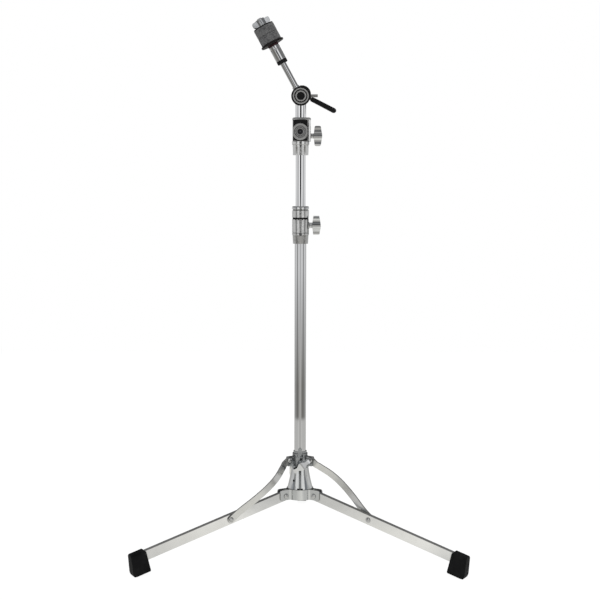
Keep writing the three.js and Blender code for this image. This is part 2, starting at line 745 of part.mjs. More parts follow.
function slidingCollar() {
  const top = COLLAR_LEVEL + COLLAR_HEIGHT;
  const neck = top - COLLAR_NECK_HEIGHT;
  const rim = COLLAR_LEVEL + COLLAR_RIM_HEIGHT;
  const bore = BASE_TUBE_RADIUS + RUNNING_GAP;
  const sleeve = turned(
    [
      [bore, COLLAR_LEVEL],
      [COLLAR_RIM_RADIUS, COLLAR_LEVEL],
      [COLLAR_RIM_RADIUS, rim],
      [COLLAR_RADIUS, rim + COLLAR_RIM_RADIUS - COLLAR_RADIUS],
      [COLLAR_RADIUS, neck - COLLAR_RADIUS + COLLAR_NECK_RADIUS],
      [COLLAR_NECK_RADIUS, neck],
      [COLLAR_NECK_RADIUS, top - COLLAR_CHAMFER],
      [COLLAR_NECK_RADIUS - COLLAR_CHAMFER, top],
      [COLLAR_LIP_RADIUS, top],
      [COLLAR_LIP_RADIUS, top + COLLAR_LIP_HEIGHT],
      [bore, top + COLLAR_LIP_HEIGHT],
    ],
    TUBE_SIDES,
  );
  const faces = collarEarFaces();
  const earTop = COLLAR_EAR_FLOOR + COLLAR_EAR_HEIGHT;
  const earShape = roundedOutline(
    [
      [COLLAR_EAR_ROOT, COLLAR_EAR_FLOOR],
      [COLLAR_EAR_REACH, COLLAR_EAR_FLOOR],
      [COLLAR_EAR_REACH, earTop],
      [COLLAR_EAR_ROOT, earTop],
    ],
    [0, COLLAR_EAR_CORNER, COLLAR_EAR_CORNER, 0],
  );
  const ears = LEG_AZIMUTHS.flatMap((azimuth) =>
    [[faces.from, faces.inner], [faces.outer, faces.to]].map(([from, to]) =>
      cut(
        upright(earShape, from, to),
        rivetHole(COLLAR_PIVOT_RADIUS, COLLAR_PIVOT_LEVEL, from - OVERRUN, to + OVERRUN),
      ).rotateZ(radians(azimuth)),
    ),
  );
  const boss = alongX(rod(COLLAR_BOSS_RADIUS, COLLAR_EAR_ROOT, COLLAR_BOSS_REACH))
    .translate(0, 0, COLLAR_BOLT_LEVEL)
    .rotateZ(radians(COLLAR_BOLT_AZIMUTH));
  const tabRing = tube(bore + COLLAR_TAB_THICKNESS, bore, neck, top + COLLAR_TAB_RISE);
  const tabHalf = COLLAR_TAB_WIDTH / 2;
  const tabShape = roundedOutline(
    [
      [-tabHalf, neck - OVERRUN],
      [tabHalf, neck - OVERRUN],
      [tabHalf, top + COLLAR_TAB_RISE],
      [-tabHalf, top + COLLAR_TAB_RISE],
    ],
    [0, 0, tabHalf, tabHalf],
  );
  const tab = common(tabRing, upright(tabShape, -COLLAR_RADIUS * 2, 0));
  const boltHole = alongX(rod(WING_THREAD_RADIUS + RUNNING_GAP, 0, COLLAR_BOSS_REACH + OVERRUN, SMALL_SIDES))
    .translate(0, 0, COLLAR_BOLT_LEVEL)
    .rotateZ(radians(COLLAR_BOLT_AZIMUTH));
  const grooves = [];
  for (let i = 0; i < COLLAR_GROOVE_COUNT; i += 1) {
    const groove = block(
      COLLAR_NECK_RADIUS - COLLAR_GROOVE_DEPTH,
      COLLAR_NECK_RADIUS + OVERRUN,
      -COLLAR_GROOVE_WIDTH / 2,
      COLLAR_GROOVE_WIDTH / 2,
      neck + COLLAR_CHAMFER,
      top + OVERRUN,
    );
    grooves.push(groove.rotateZ(radians((360 / COLLAR_GROOVE_COUNT) * i)));
  }
  const column = rod(bore, COLLAR_LEVEL - OVERRUN, top + COLLAR_TAB_RISE + OVERRUN, TUBE_SIDES);
  const below = rod(COLLAR_RIM_RADIUS * 2, 0, COLLAR_LEVEL);
  return cut(join(cut(sleeve, ...grooves), ...ears, boss, tab), boltHole, column, below);
}

// Height clamps
function flutes(radius, from, to) {
  const tools = [];
  for (let i = 0; i < FLUTE_COUNT; i += 1) {
    const azimuth = -90 + (360 / FLUTE_COUNT) * (i + 0.5);
    const tool = new THREE.CapsuleGeometry(FLUTE_RADIUS, to - from, CORNER_STEPS, SMALL_SIDES - CORNER_STEPS)
      .rotateX(Math.PI / 2)
      .translate(radius + FLUTE_SINK, 0, (from + to) / 2 - FLUTE_RADIUS)
      .rotateZ(radians(azimuth));
    tools.push(tool);
  }
  return tools;
}

function lowerClampBody() {
  const base = RECEIVER_LEVEL;
  const skirt = base + CLAMP_SKIRT_HEIGHT;
  const ring = skirt + CLAMP_RING_HEIGHT;
  const top = base + RECEIVER_HEIGHT;
  const tubeTop = base + RECEIVER_TUBE_DEPTH;
  const tubeBore = BASE_TUBE_RADIUS + RUNNING_GAP;
  const bushBore = MIDDLE_TUBE_RADIUS + BUSH_WALL + RUNNING_GAP * 2;
  const bushFloor = top - BUSH_LENGTH;
  const body = turned(
    [
      [tubeBore, base],
      [CLAMP_SKIRT_FOOT_RADIUS, base],
      [CLAMP_RADIUS - CLAMP_RING_GROOVE, skirt],
      [CLAMP_RADIUS, skirt + CLAMP_RING_GROOVE],
      [CLAMP_RADIUS, ring],
      [CLAMP_RADIUS - CLAMP_RING_GROOVE, ring + CLAMP_RING_GROOVE],
      [CLAMP_RADIUS, ring + CLAMP_RING_GROOVE * 2],
      [CLAMP_RADIUS, top],
      [bushBore, top],
      [bushBore, tubeTop],
      [tubeBore, Math.min(tubeTop, bushFloor + BUSH_LENGTH)],
    ],
    TUBE_SIDES,
  );
  const boltLevel = top - LOWER_BOLT_DROP;
  const boss = alongX(rod(BOLT_BOSS_RADIUS, bushBore, CLAMP_RADIUS + BOLT_BOSS_PROUD));
  const boltHole = alongX(rod(WING_THREAD_RADIUS + RUNNING_GAP, 0, CLAMP_RADIUS * 2, SMALL_SIDES));
  const cavity = rod(bushBore, tubeTop, top + OVERRUN, TUBE_SIDES);
  const pinHole = alongY(rod(PIN_RADIUS + RUNNING_GAP, -CLAMP_RADIUS * 2, 0, SMALL_SIDES));
  const notches = [];
  for (let i = 0; i < NOTCH_COUNT; i += 1) {
    const notch = block(
      bushBore - OVERRUN,
      CLAMP_RADIUS + OVERRUN,
      -NOTCH_WIDTH / 2,
      NOTCH_WIDTH / 2,
      top - NOTCH_DEPTH,
      top + OVERRUN,
    );
    notches.push(notch.rotateZ(radians((360 / NOTCH_COUNT) * i)));
  }
  return cut(
    join(body, boss.translate(0, 0, boltLevel)),
    cavity,
    boltHole.translate(0, 0, boltLevel),
    pinHole.translate(0, 0, base + PIN_RISE),
    ...flutes(CLAMP_RADIUS, base - CLAMP_SKIRT_HEIGHT, skirt),
    ...notches,
  );
}

function lowerClampBush() {
  const top = RECEIVER_LEVEL + RECEIVER_HEIGHT;
  const bore = MIDDLE_TUBE_RADIUS + RUNNING_GAP;
  const outer = bore + BUSH_WALL;
  const floor = RECEIVER_LEVEL + RECEIVER_TUBE_DEPTH + RUNNING_GAP;
  return turned(
    [
      [bore, floor],
      [outer, floor],
      [outer, top + RUNNING_GAP],
      [CLAMP_RADIUS - BUSH_FLANGE_SET, top + RUNNING_GAP],
      [CLAMP_RADIUS - BUSH_FLANGE_SET, top + RUNNING_GAP + BUSH_FLANGE],
      [bore, top + RUNNING_GAP + BUSH_FLANGE],
    ],
    TUBE_SIDES,
  );
}

function lockBase() {
  return RECEIVER_LEVEL + RECEIVER_HEIGHT + BUSH_FLANGE + RUNNING_GAP * 2;
}

function lockScrewLine() {
  return { y: (CLAMP_RADIUS + LOCK_LUG_REACH) / 2, z: lockBase() + LOCK_HEIGHT / 2 };
}

function memoryLock() {
  const base = lockBase();
  const top = base + LOCK_HEIGHT;
  const groove = top - LOCK_GROOVE_DROP;
  const bore = MIDDLE_TUBE_RADIUS + RUNNING_GAP;
  const ring = turned(
    [
      [bore, base],
      [CLAMP_RADIUS, base],
      [CLAMP_RADIUS, groove - LOCK_GROOVE],
      [CLAMP_RADIUS - LOCK_GROOVE, groove - LOCK_GROOVE / 2],
      [CLAMP_RADIUS - LOCK_GROOVE, groove + LOCK_GROOVE / 2],
      [CLAMP_RADIUS, groove + LOCK_GROOVE],
      [CLAMP_RADIUS, top - LOCK_ROUND],
      [CLAMP_RADIUS - LOCK_ROUND / 3, top - LOCK_ROUND / 3],
      [CLAMP_RADIUS - LOCK_ROUND, top],
      [bore, top],
    ],
    TUBE_SIDES,
  );
  const line = lockScrewLine();
  const lugs = block(
    -LOCK_SLIT / 2 - LOCK_LUG_THICKNESS,
    LOCK_SLIT / 2 + LOCK_LUG_THICKNESS,
    MIDDLE_TUBE_RADIUS + OVERRUN,
    LOCK_LUG_REACH,
    line.z - LOCK_LUG_HEIGHT / 2,
    line.z + LOCK_LUG_HEIGHT / 2,
  );
  const slit = block(
    -LOCK_SLIT / 2,
    LOCK_SLIT / 2,
    0,
    LOCK_LUG_REACH + OVERRUN,
    base - OVERRUN,
    top + OVERRUN,
  );
  const reach = LOCK_LUG_THICKNESS * 2;
  const hole = alongX(rod(LOCK_SCREW_RADIUS + RUNNING_GAP, -reach, reach, SMALL_SIDES));
  return cut(join(ring, lugs), slit, hole.translate(0, line.y, line.z));
}

function lockScrew() {
  const line = lockScrewLine();
  const face = LOCK_SLIT / 2 + LOCK_LUG_THICKNESS + RUNNING_GAP;
  const shank = alongX(
    turned(
      [
        [0, face - LOCK_LUG_THICKNESS * 2 - LOCK_SLIT - RUNNING_GAP * 2],
        [LOCK_SCREW_RADIUS, face - LOCK_LUG_THICKNESS * 2 - LOCK_SLIT - RUNNING_GAP * 2],
        [LOCK_SCREW_RADIUS, face],
        [LOCK_SCREW_HEAD, face],
        [LOCK_SCREW_HEAD, face + LOCK_SCREW_RADIUS],
        [0, face + LOCK_SCREW_RADIUS],
      ],
      SMALL_SIDES,
    ),
  );
  const key = block(
    face,
    face + LOCK_SCREW_RADIUS + LOCK_KEY_LENGTH,
    -LOCK_KEY_SIZE / 2,
    LOCK_KEY_SIZE / 2,
    -LOCK_KEY_SIZE / 2,
    LOCK_KEY_SIZE / 2,
  );
  return join(shank, key).translate(0, line.y, line.z);
}

function upperLevels() {
  const base = lockBase() + LOCK_HEIGHT + MIDDLE_EXPOSED;
  const band = base + UPPER_SKIRT_HEIGHT;
  const block0 = band + UPPER_BAND_HEIGHT;
  const top = block0 + UPPER_BLOCK_HEIGHT;
  const capTop = top + RUNNING_GAP + CAP_HEIGHT;
  return { base, band, block: block0, top, capTop, tilter: capTop + TILTER_RISE };
}

function upperClampBody() {
  const levels = upperLevels();
  const tubeBore = MIDDLE_TUBE_RADIUS + RUNNING_GAP;
  const bushBore = UPPER_TUBE_RADIUS + UPPER_BUSH_WALL + RUNNING_GAP * 2;
  const tubeTop = levels.base + UPPER_TUBE_DEPTH;
  const round = turned(
    [
      [0, levels.base],
      [UPPER_SKIRT_FOOT_RADIUS, levels.base],
      [UPPER_SKIRT_RADIUS, levels.band - CLAMP_RING_GROOVE],
      [UPPER_BAND_RADIUS, levels.band + CLAMP_RING_GROOVE],
      [UPPER_BAND_RADIUS, levels.block],
      [0, levels.block],
    ],
    TUBE_SIDES,
  );
  const plan = rectangle(
    -UPPER_BLOCK_LEFT,
    UPPER_BLOCK_RIGHT,
    -UPPER_BLOCK_HALF_DEPTH,
    UPPER_BLOCK_HALF_DEPTH,
    UPPER_BLOCK_CORNER,
  );
  const housing = prism(plan, levels.block, levels.top);
  const panelSeat = block(
    PANEL_CENTRE - PANEL_WIDTH / 2 - RUNNING_GAP,
    PANEL_CENTRE + PANEL_WIDTH / 2 + RUNNING_GAP,
    -UPPER_BLOCK_HALF_DEPTH - OVERRUN,
    -UPPER_BLOCK_HALF_DEPTH + PANEL_THICKNESS,
    levels.block + PANEL_MARGIN - RUNNING_GAP,
    levels.top + OVERRUN,
  );
  const boltLevel = levels.block + UPPER_BOLT_RISE;
  const boltHole = alongX(rod(WING_THREAD_RADIUS + RUNNING_GAP, 0, UPPER_BLOCK_RIGHT * 2, SMALL_SIDES));
  const mark = roundedOutline(
    [
      [-MARK_WIDTH / 2, levels.band],
      [0, levels.band - MARK_HEIGHT],
      [MARK_WIDTH / 2, levels.band],
    ],
    0,
  );
  return cut(
    join(round, housing),
    rod(tubeBore, levels.base - OVERRUN, tubeTop + RUNNING_GAP, TUBE_SIDES),
    rod(bushBore, tubeTop, levels.top + OVERRUN, TUBE_SIDES),
    panelSeat,
    boltHole.translate(0, 0, boltLevel),
    upright(mark, -UPPER_SKIRT_RADIUS * 2, MARK_DEPTH - UPPER_SKIRT_RADIUS),
    ...flutes(UPPER_SKIRT_RADIUS, levels.base - UPPER_SKIRT_HEIGHT, levels.band - MARK_HEIGHT / 2),
  );
}

function upperClampBush() {
  const levels = upperLevels();
  const bore = UPPER_TUBE_RADIUS + RUNNING_GAP;
  const top = levels.top - RUNNING_GAP;
  return tube(bore + UPPER_BUSH_WALL, bore, top - UPPER_BUSH_LENGTH, top);
}

function upperClampCap() {
  const levels = upperLevels();
  const low = levels.top + RUNNING_GAP;
  const plan = rectangle(
    CAP_BEVEL - UPPER_BLOCK_LEFT - CAP_OVERHANG,
    UPPER_BLOCK_RIGHT + CAP_OVERHANG - CAP_BEVEL,
    CAP_BEVEL - UPPER_BLOCK_HALF_DEPTH - CAP_OVERHANG,
    UPPER_BLOCK_HALF_DEPTH + CAP_OVERHANG - CAP_BEVEL,
    UPPER_BLOCK_CORNER,
  );
  const bevelled = new THREE.ExtrudeGeometry(plan, {
    depth: CAP_LIP * 2,
    bevelThickness: CAP_HEIGHT - CAP_LIP,
    bevelSize: CAP_BEVEL,
    bevelSegments: 2,
    curveSegments: CORNER_STEPS,
  }).translate(0, 0, low - CAP_LIP);
  return cut(
    bevelled,
    rod(UPPER_BLOCK_RIGHT * 3, low - CAP_HEIGHT * 2, low),
    rod(UPPER_TUBE_RADIUS + RUNNING_GAP, low - OVERRUN, levels.capTop + OVERRUN, TUBE_SIDES),
  );
}

function clampPanel() {
  const levels = upperLevels();
  const back = -UPPER_BLOCK_HALF_DEPTH + PANEL_THICKNESS - RUNNING_GAP;
  const shape = rectangle(
    PANEL_CENTRE - PANEL_WIDTH / 2,
    PANEL_CENTRE + PANEL_WIDTH / 2,
    levels.block + PANEL_MARGIN,
    levels.top - RUNNING_GAP,
    PANEL_MARGIN,
  );
  return upright(shape, -UPPER_BLOCK_HALF_DEPTH, back);
}

function clampDisc() {
  const levels = upperLevels();
  const profile = [[0, 0], [DISC_RADIUS, 0]];
  const face = DISC_THICKNESS;
  profile.push([DISC_RADIUS, face - DISC_RING_DEPTH], [DISC_RADIUS - DISC_RING_DEPTH, face]);
  DISC_RING_SHARES.slice()
    .reverse()
    .forEach((share, i) => {
      const outerEdge = i % 2 === 0;
      const radius = share * DISC_RADIUS;
      const low = [radius, face - DISC_RING_DEPTH];
      const high = [radius, face];
      profile.push(...(outerEdge ? [high, low] : [low, high]));
    });
  profile.push([0, face]);
  const band = block(-DISC_HALF_WIDTH, DISC_HALF_WIDTH, -DISC_RADIUS * 2, DISC_RADIUS * 2, -face, face * 2);
  return common(turned(profile), band)
    .rotateX(Math.PI / 2)
    .translate(PANEL_CENTRE, -UPPER_BLOCK_HALF_DEPTH - RUNNING_GAP, levels.block + DISC_RISE);
}

// Tilter, drawn round its own centre with the drum's axis along Y
function tilterBase() {
  const low = RUNNING_GAP - TILTER_RISE;
  const ferrule = rod(FERRULE_RADIUS, low, -DRUM_RADIUS / 2, TUBE_SIDES);
  const disc = alongY(rod(DRUM_RADIUS, DRUM_SPLIT, DRUM_HALF_DEPTH, TUBE_SIDES));
  const headRoom = alongY(
    rod(DRUM_RADIUS + RUNNING_GAP * 2, -FERRULE_RADIUS * 2, DRUM_SPLIT, TUBE_SIDES),
  );
  const leverRoom = alongY(
    rod(
      LEVER_HUB_RADIUS + LEVER_LINE_RISE + RUNNING_GAP * 2,
      DRUM_HALF_DEPTH,
      FERRULE_RADIUS * 2,
      TUBE_SIDES,
    ),
  );
  const socket = rod(UPPER_TUBE_RADIUS + RUNNING_GAP, low - OVERRUN, low + FERRULE_SOCKET_DEPTH, TUBE_SIDES);
  const boltHole = alongY(rod(TILTER_BOLT_RADIUS + RUNNING_GAP, -DRUM_RADIUS, DRUM_RADIUS, SMALL_SIDES));
  return cut(join(ferrule, disc), headRoom, leverRoom, socket, boltHole);
}

function tilterHead() {
  const disc = alongY(rod(DRUM_RADIUS, -DRUM_HALF_DEPTH, -DRUM_SPLIT, TUBE_SIDES));
  const boss = rod(ARM_BOSS_RADIUS, DRUM_RADIUS / 2, ARM_BOSS_END);
  const baseRoom = alongY(
    rod(DRUM_RADIUS + RUNNING_GAP * 2, -DRUM_SPLIT, ARM_BOSS_RADIUS * 2, TUBE_SIDES),
  );
  const socket = rod(ARM_ROD_RADIUS + RUNNING_GAP, ARM_ROD_START - RUNNING_GAP, ARM_BOSS_END + OVERRUN);
  const boltHole = alongY(rod(TILTER_BOLT_RADIUS + RUNNING_GAP, -DRUM_RADIUS, DRUM_RADIUS, SMALL_SIDES));
  return cut(join(disc, boss), baseRoom, socket, boltHole);
}

function tilterBolt() {
  const head = -DRUM_HALF_DEPTH - RUNNING_GAP;
  const end = DRUM_HALF_DEPTH + RUNNING_GAP + LEVER_HUB_THICKNESS + LEVER_NUT_HEIGHT / 2;
  return alongY(
    turned([
      [0, head - TILTER_BOLT_HEAD_HEIGHT],
      [TILTER_BOLT_HEAD_RADIUS, head - TILTER_BOLT_HEAD_HEIGHT],
      [TILTER_BOLT_HEAD_RADIUS, head],
      [TILTER_BOLT_RADIUS, head],
      [TILTER_BOLT_RADIUS, end],
      [0, end],
    ]),
  );
}

function dialFront() {
  return -DRUM_HALF_DEPTH - RUNNING_GAP - DIAL_THICKNESS;
}

function tilterDial() {
  const back = -DRUM_HALF_DEPTH - RUNNING_GAP;
  const front = dialFront();
  const recess = TILTER_BOLT_HEAD_RADIUS + RUNNING_GAP;
  const recessFloor = back - TILTER_BOLT_HEAD_HEIGHT - RUNNING_GAP;
  const profile = [[0, front]];
  [DIAL_INNER_RING, DIAL_OUTER_RING].forEach(([inner, outer]) => {
    profile.push(
      [inner - RUNNING_GAP, front],
      [inner - RUNNING_GAP, front + DIAL_RING_DEPTH],
      [outer + RUNNING_GAP, front + DIAL_RING_DEPTH],
      [outer + RUNNING_GAP, front],
    );
  });
  profile.push(
    [DIAL_RADIUS - DIAL_ROUND, front],
    [DIAL_RADIUS, front + DIAL_ROUND],
    [DIAL_RADIUS, back],
    [recess, back],
    [recess, recessFloor],
    [0, recessFloor],
  );
  return alongY(turned(profile, TUBE_SIDES));
}

function dialRing([inner, outer]) {
  const front = dialFront();
  const back = front + DIAL_RING_DEPTH - RUNNING_GAP;
  return alongY(tube(outer, inner, front - DIAL_RING_PROUD, back));
}

function leverNut() {
  const near = DRUM_HALF_DEPTH + RUNNING_GAP;
  const far = near + LEVER_HUB_THICKNESS;
  const middle = (near + far) / 2;
  const hub = alongY(rod(LEVER_HUB_RADIUS, near, far)).translate(0, 0, LEVER_LINE_RISE);
  const nut = alongY(rod(LEVER_NUT_RADIUS, far - OVERRUN, far + LEVER_NUT_HEIGHT));
  const arm = alongX(rod(LEVER_ARM_RADIUS, 0, LEVER_ARM_END, SMALL_SIDES)).translate(
    0,
    middle,
    LEVER_LINE_RISE,
  );
  const lug = alongX(rod(LEVER_LUG_RADIUS, 0, LEVER_LUG_END, SMALL_SIDES))
    .translate(0, middle, LEVER_LUG_RISE)
    .rotateY(radians(-LEVER_DROOP));
  const grown = LEVER_GRIP_RADIUS + RUNNING_GAP;
  const gripRoom = cut(
    alongX(rod(grown, LEVER_GRIP_START - RUNNING_GAP, LEVER_GRIP_END, SMALL_SIDES)),
    alongX(rod(LEVER_ARM_RADIUS, 0, LEVER_GRIP_END * 2, SMALL_SIDES)),
  ).translate(0, middle, LEVER_LINE_RISE);
  const hole = alongY(rod(TILTER_BOLT_RADIUS + RUNNING_GAP, 0, far * 2, SMALL_SIDES));
  return cut(join(hub, nut, arm, lug), hole, gripRoom);
}

function leverGrip() {
  const middle = DRUM_HALF_DEPTH + RUNNING_GAP + LEVER_HUB_THICKNESS / 2;
  const bore = LEVER_ARM_RADIUS + RUNNING_GAP;
  const round = LEVER_GRIP_RADIUS;
  const tip = LEVER_GRIP_END - round;
  const profile = [
    [0, LEVER_ARM_END + RUNNING_GAP],
    [bore, LEVER_ARM_END + RUNNING_GAP],
    [bore, LEVER_GRIP_START],
    [LEVER_GRIP_RADIUS - LEVER_GRIP_TAPER, LEVER_GRIP_START],
  ];
  for (let i = 0; i <= CORNER_STEPS; i += 1) {
    const angle = (Math.PI / 2) * (i / CORNER_STEPS);
    profile.push([round * Math.cos(angle), tip + round * Math.sin(angle)]);
  }
  profile[profile.length - 1][0] = 0;
  return alongX(turned(profile, SMALL_SIDES)).translate(0, middle, LEVER_LINE_RISE);
}

// Tilting arm and cymbal seat, drawn along +Z from the tilter's centre
function seatLevels() {
  const hub = SLEEVE_END + RUNNING_GAP;
  const washer = hub + SEAT_HUB_LENGTH + RUNNING_GAP;
  const felt = washer + SEAT_WASHER_THICKNESS + RUNNING_GAP;
  const topFelt = felt + FELT_THICKNESS + RUNNING_GAP;
  const topWasher = topFelt + FELT_THICKNESS + RUNNING_GAP;
  const nut = topWasher + TOP_WASHER_THICKNESS + RUNNING_GAP;
  return { hub, washer, felt, topFelt, topWasher, nut, end: nut + NUT_HUB_HEIGHT + NUT_THREAD_PROUD };
}

function armRod() {
  const levels = seatLevels();
  const shoulder = levels.washer;
  return turned([
    [0, ARM_ROD_START],
    [ARM_ROD_RADIUS, ARM_ROD_START],
    [ARM_ROD_RADIUS, shoulder],
    [THREAD_RADIUS, shoulder + ARM_ROD_RADIUS - THREAD_RADIUS],
    [THREAD_RADIUS, levels.end],
    [0, levels.end],
  ]);
}

function armSleeve() {
  const bore = ARM_ROD_RADIUS + RUNNING_GAP;
  const start = SLEEVE_START + SLEEVE_BAND_LENGTH + RUNNING_GAP;
  const body = turned([
    [bore, start],
    [SLEEVE_RADIUS, start],
    [SLEEVE_RADIUS, SLEEVE_END - SLEEVE_ROUND],
    [SLEEVE_RADIUS - SLEEVE_ROUND, SLEEVE_END],
    [bore, SLEEVE_END],
  ]);
  const dimples = [];
  const dimpleRadius = SLEEVE_RADIUS + SLEEVE_DIMPLE_RADIUS - SLEEVE_DIMPLE_SINK;
  for (let i = 0; i < SLEEVE_DIMPLE_COUNT; i += 1) {
    const dimple = new THREE.CapsuleGeometry(
      SLEEVE_DIMPLE_RADIUS,
      SLEEVE_DIMPLE_LENGTH - SLEEVE_DIMPLE_RADIUS,
      CORNER_STEPS,
      SMALL_SIDES / 2,
    )
      .rotateX(Math.PI / 2)
      .translate(dimpleRadius, 0, SLEEVE_END - SLEEVE_DIMPLE_DROP);
    dimples.push(dimple.rotateZ(radians((360 / SLEEVE_DIMPLE_COUNT) * (i + 0.5))));
  }
  return cut(body, ...dimples);
}

function sleeveBand() {
  const end = SLEEVE_START + SLEEVE_BAND_LENGTH;
  return turned([
    [ARM_ROD_RADIUS + RUNNING_GAP, SLEEVE_START],
    [SLEEVE_RADIUS - SLEEVE_ROUND, SLEEVE_START],
    [SLEEVE_RADIUS, SLEEVE_START + SLEEVE_ROUND],
    [SLEEVE_RADIUS, end],
    [ARM_ROD_RADIUS + RUNNING_GAP, end],
  ]);
}

function seatWasher() {
  const { washer } = seatLevels();
  const bore = ARM_ROD_RADIUS + RUNNING_GAP;
  return turned([
    [bore, washer],
    [SEAT_WASHER_RADIUS - SEAT_LIP, washer],
    [SEAT_WASHER_RADIUS, washer + SEAT_LIP],
    [SEAT_WASHER_RADIUS, washer + SEAT_WASHER_THICKNESS - SEAT_LIP],
    [SEAT_WASHER_RADIUS - SEAT_LIP, washer + SEAT_WASHER_THICKNESS],
    [bore, washer + SEAT_WASHER_THICKNESS],
  ]);
}

function cymbalSleeve() {
  const levels = seatLevels();
  const bore = THREAD_RADIUS + RUNNING_GAP;
  const bottom = levels.felt;
  return tube(bore + CYMBAL_SLEEVE_WALL, bore, bottom, levels.topWasher - RUNNING_GAP, TURNED_SIDES);
}

function felt(from) {
  const bore = THREAD_RADIUS + CYMBAL_SLEEVE_WALL + RUNNING_GAP * 2;
  const to = from + FELT_THICKNESS;
  return turned([
    [bore, from],
    [FELT_RADIUS - FELT_ROUND, from],
    [FELT_RADIUS, from + FELT_ROUND],
    [FELT_RADIUS, to - FELT_ROUND],
    [FELT_RADIUS - FELT_ROUND, to],
    [bore, to],
  ]);
}

function wingNut() {
  const half = NUT_SPAN / 2;
  const waist = NUT_WAIST / 2;
  const hub = rod(NUT_HUB_RADIUS, 0, NUT_HUB_HEIGHT);
  const side = roundedOutline(
    [
      [-waist, 0],
      [waist, 0],
      [half, NUT_HEIGHT - NUT_TIP_HEIGHT],
      [half, NUT_HEIGHT],
      [waist, NUT_HEIGHT],
      [0, NUT_HUB_HEIGHT],
      [-waist, NUT_HEIGHT],
      [-half, NUT_HEIGHT],
      [-half, NUT_HEIGHT - NUT_TIP_HEIGHT],
    ],
    [0, 0, NUT_CORNER, NUT_CORNER, NUT_CORNER, NUT_CORNER, NUT_CORNER, NUT_CORNER, NUT_CORNER],
  );
  const wings = upright(side, -NUT_THICKNESS / 2, NUT_THICKNESS / 2);
  const hole = rod(THREAD_RADIUS + RUNNING_GAP, -OVERRUN, NUT_HUB_HEIGHT + OVERRUN);
  return cut(join(hub, wings), hole);
}

// The whole stand
const stand = new THREE.Group();

stand.add(piece("base_tube", baseTube(), chrome));
stand.add(piece("hub_plug", hubPlug(), blackPlastic));
stand.add(piece("hub_bell", hubBell(), chrome));
stand.add(piece("leg_bracket", legBracket(), pressedSteel));
stand.add(piece("sliding_collar", slidingCollar(), castMetal));

LEG_AZIMUTHS.forEach((azimuth, i) => {
  const number = i + 1;
  const bracketFace = LEG_WIDTH / 2 + RUNNING_GAP + BRACKET_SHEET + RUNNING_GAP;
  const spoke = new THREE.Group();
  spoke.rotation.z = radians(azimuth);
  stand.add(spoke);

  const pivotRivet = piece(`leg_rivet_${number}`, rivet(-bracketFace, bracketFace, true, true), darkSteel);
  spoke.add(placed(pivotRivet, LEG_PIVOT_RADIUS, 0, LEG_PIVOT_LEVEL));

  const leg = new THREE.Group();
  leg.rotation.y = radians(LEG_SLOPE);
  spoke.add(placed(leg, LEG_PIVOT_RADIUS, 0, LEG_PIVOT_LEVEL));
  leg.add(piece(`leg_${number}`, legChannel(), pressedSteel));
  leg.add(piece(`rubber_foot_${number}`, rubberFoot(), blackRubber));
  const legFace = LEG_WIDTH / 2 + RUNNING_GAP;
  const stud = piece(`leg_stud_${number}`, rivet(-legFace, LEG_WIDTH / 2, true, false), darkSteel);
  leg.add(placed(stud, BRACE_JOINT_REACH, 0, 0));

  const { length, angle } = braceLine();
  const strap = new THREE.Group();
  strap.rotation.y = angle;
  spoke.add(placed(strap, COLLAR_PIVOT_RADIUS, 0, COLLAR_PIVOT_LEVEL));
  strap.add(piece(`brace_${number}`, braceStrap(), pressedSteel));
  const inner = braceLegOffset() - BRACE_THICKNESS / 2;
  const outer = braceLegOffset() + BRACE_THICKNESS / 2 + RUNNING_GAP;
  const braceRivet = piece(`brace_rivet_${number}`, rivet(inner, outer, false, true), darkSteel);
  strap.add(placed(braceRivet, length, 0, 0));

  const ears = collarEarFaces();
  const collarRivet = piece(
    `collar_rivet_${number}`,
    rivet(ears.from - RUNNING_GAP, ears.to + RUNNING_GAP, true, true),
    darkSteel,
  );
  spoke.add(placed(collarRivet, COLLAR_PIVOT_RADIUS, 0, COLLAR_PIVOT_LEVEL));
});

// The collar's wing bolt presses on the base tube
const collarBoltGroup = new THREE.Group();
collarBoltGroup.rotation.z = radians(COLLAR_BOLT_AZIMUTH);
const collarThread = COLLAR_BOSS_REACH - BASE_TUBE_RADIUS - RUNNING_GAP;
const collarBolt = piece("collar_wing_bolt", wingBolt(collarThread), chrome);
collarBolt.rotation.x = radians(COLLAR_BOLT_ROLL);
collarBoltGroup.add(placed(collarBolt, COLLAR_BOSS_REACH, 0, COLLAR_BOLT_LEVEL));
stand.add(collarBoltGroup);

// Lower clamp and its memory lock
stand.add(piece("lower_clamp_body", lowerClampBody(), castMetal));
stand.add(piece("lower_clamp_bush", lowerClampBush(), blackPlastic));
const pinFace = CLAMP_RADIUS - PIN_SET;
const pinGeometry = alongY(rod(PIN_RADIUS, -pinFace, -BASE_TUBE_RADIUS - RUNNING_GAP, SMALL_SIDES));
const clampPin = piece("lower_clamp_pin", pinGeometry, darkSteel);
stand.add(placed(clampPin, 0, 0, RECEIVER_LEVEL + PIN_RISE));
const lowerSeat = CLAMP_RADIUS + BOLT_BOSS_PROUD;
const lowerBushRadius = MIDDLE_TUBE_RADIUS + BUSH_WALL + RUNNING_GAP;
const lowerBolt = piece(
  "lower_wing_bolt",
  wingBolt(lowerSeat - lowerBushRadius - RUNNING_GAP),
  chrome,
);
lowerBolt.rotation.x = radians(LOWER_BOLT_ROLL);
stand.add(placed(lowerBolt, lowerSeat, 0, RECEIVER_LEVEL + RECEIVER_HEIGHT - LOWER_BOLT_DROP));
stand.add(piece("memory_lock", memoryLock(), castMetal));
stand.add(piece("memory_lock_screw", lockScrew(), darkSteel));

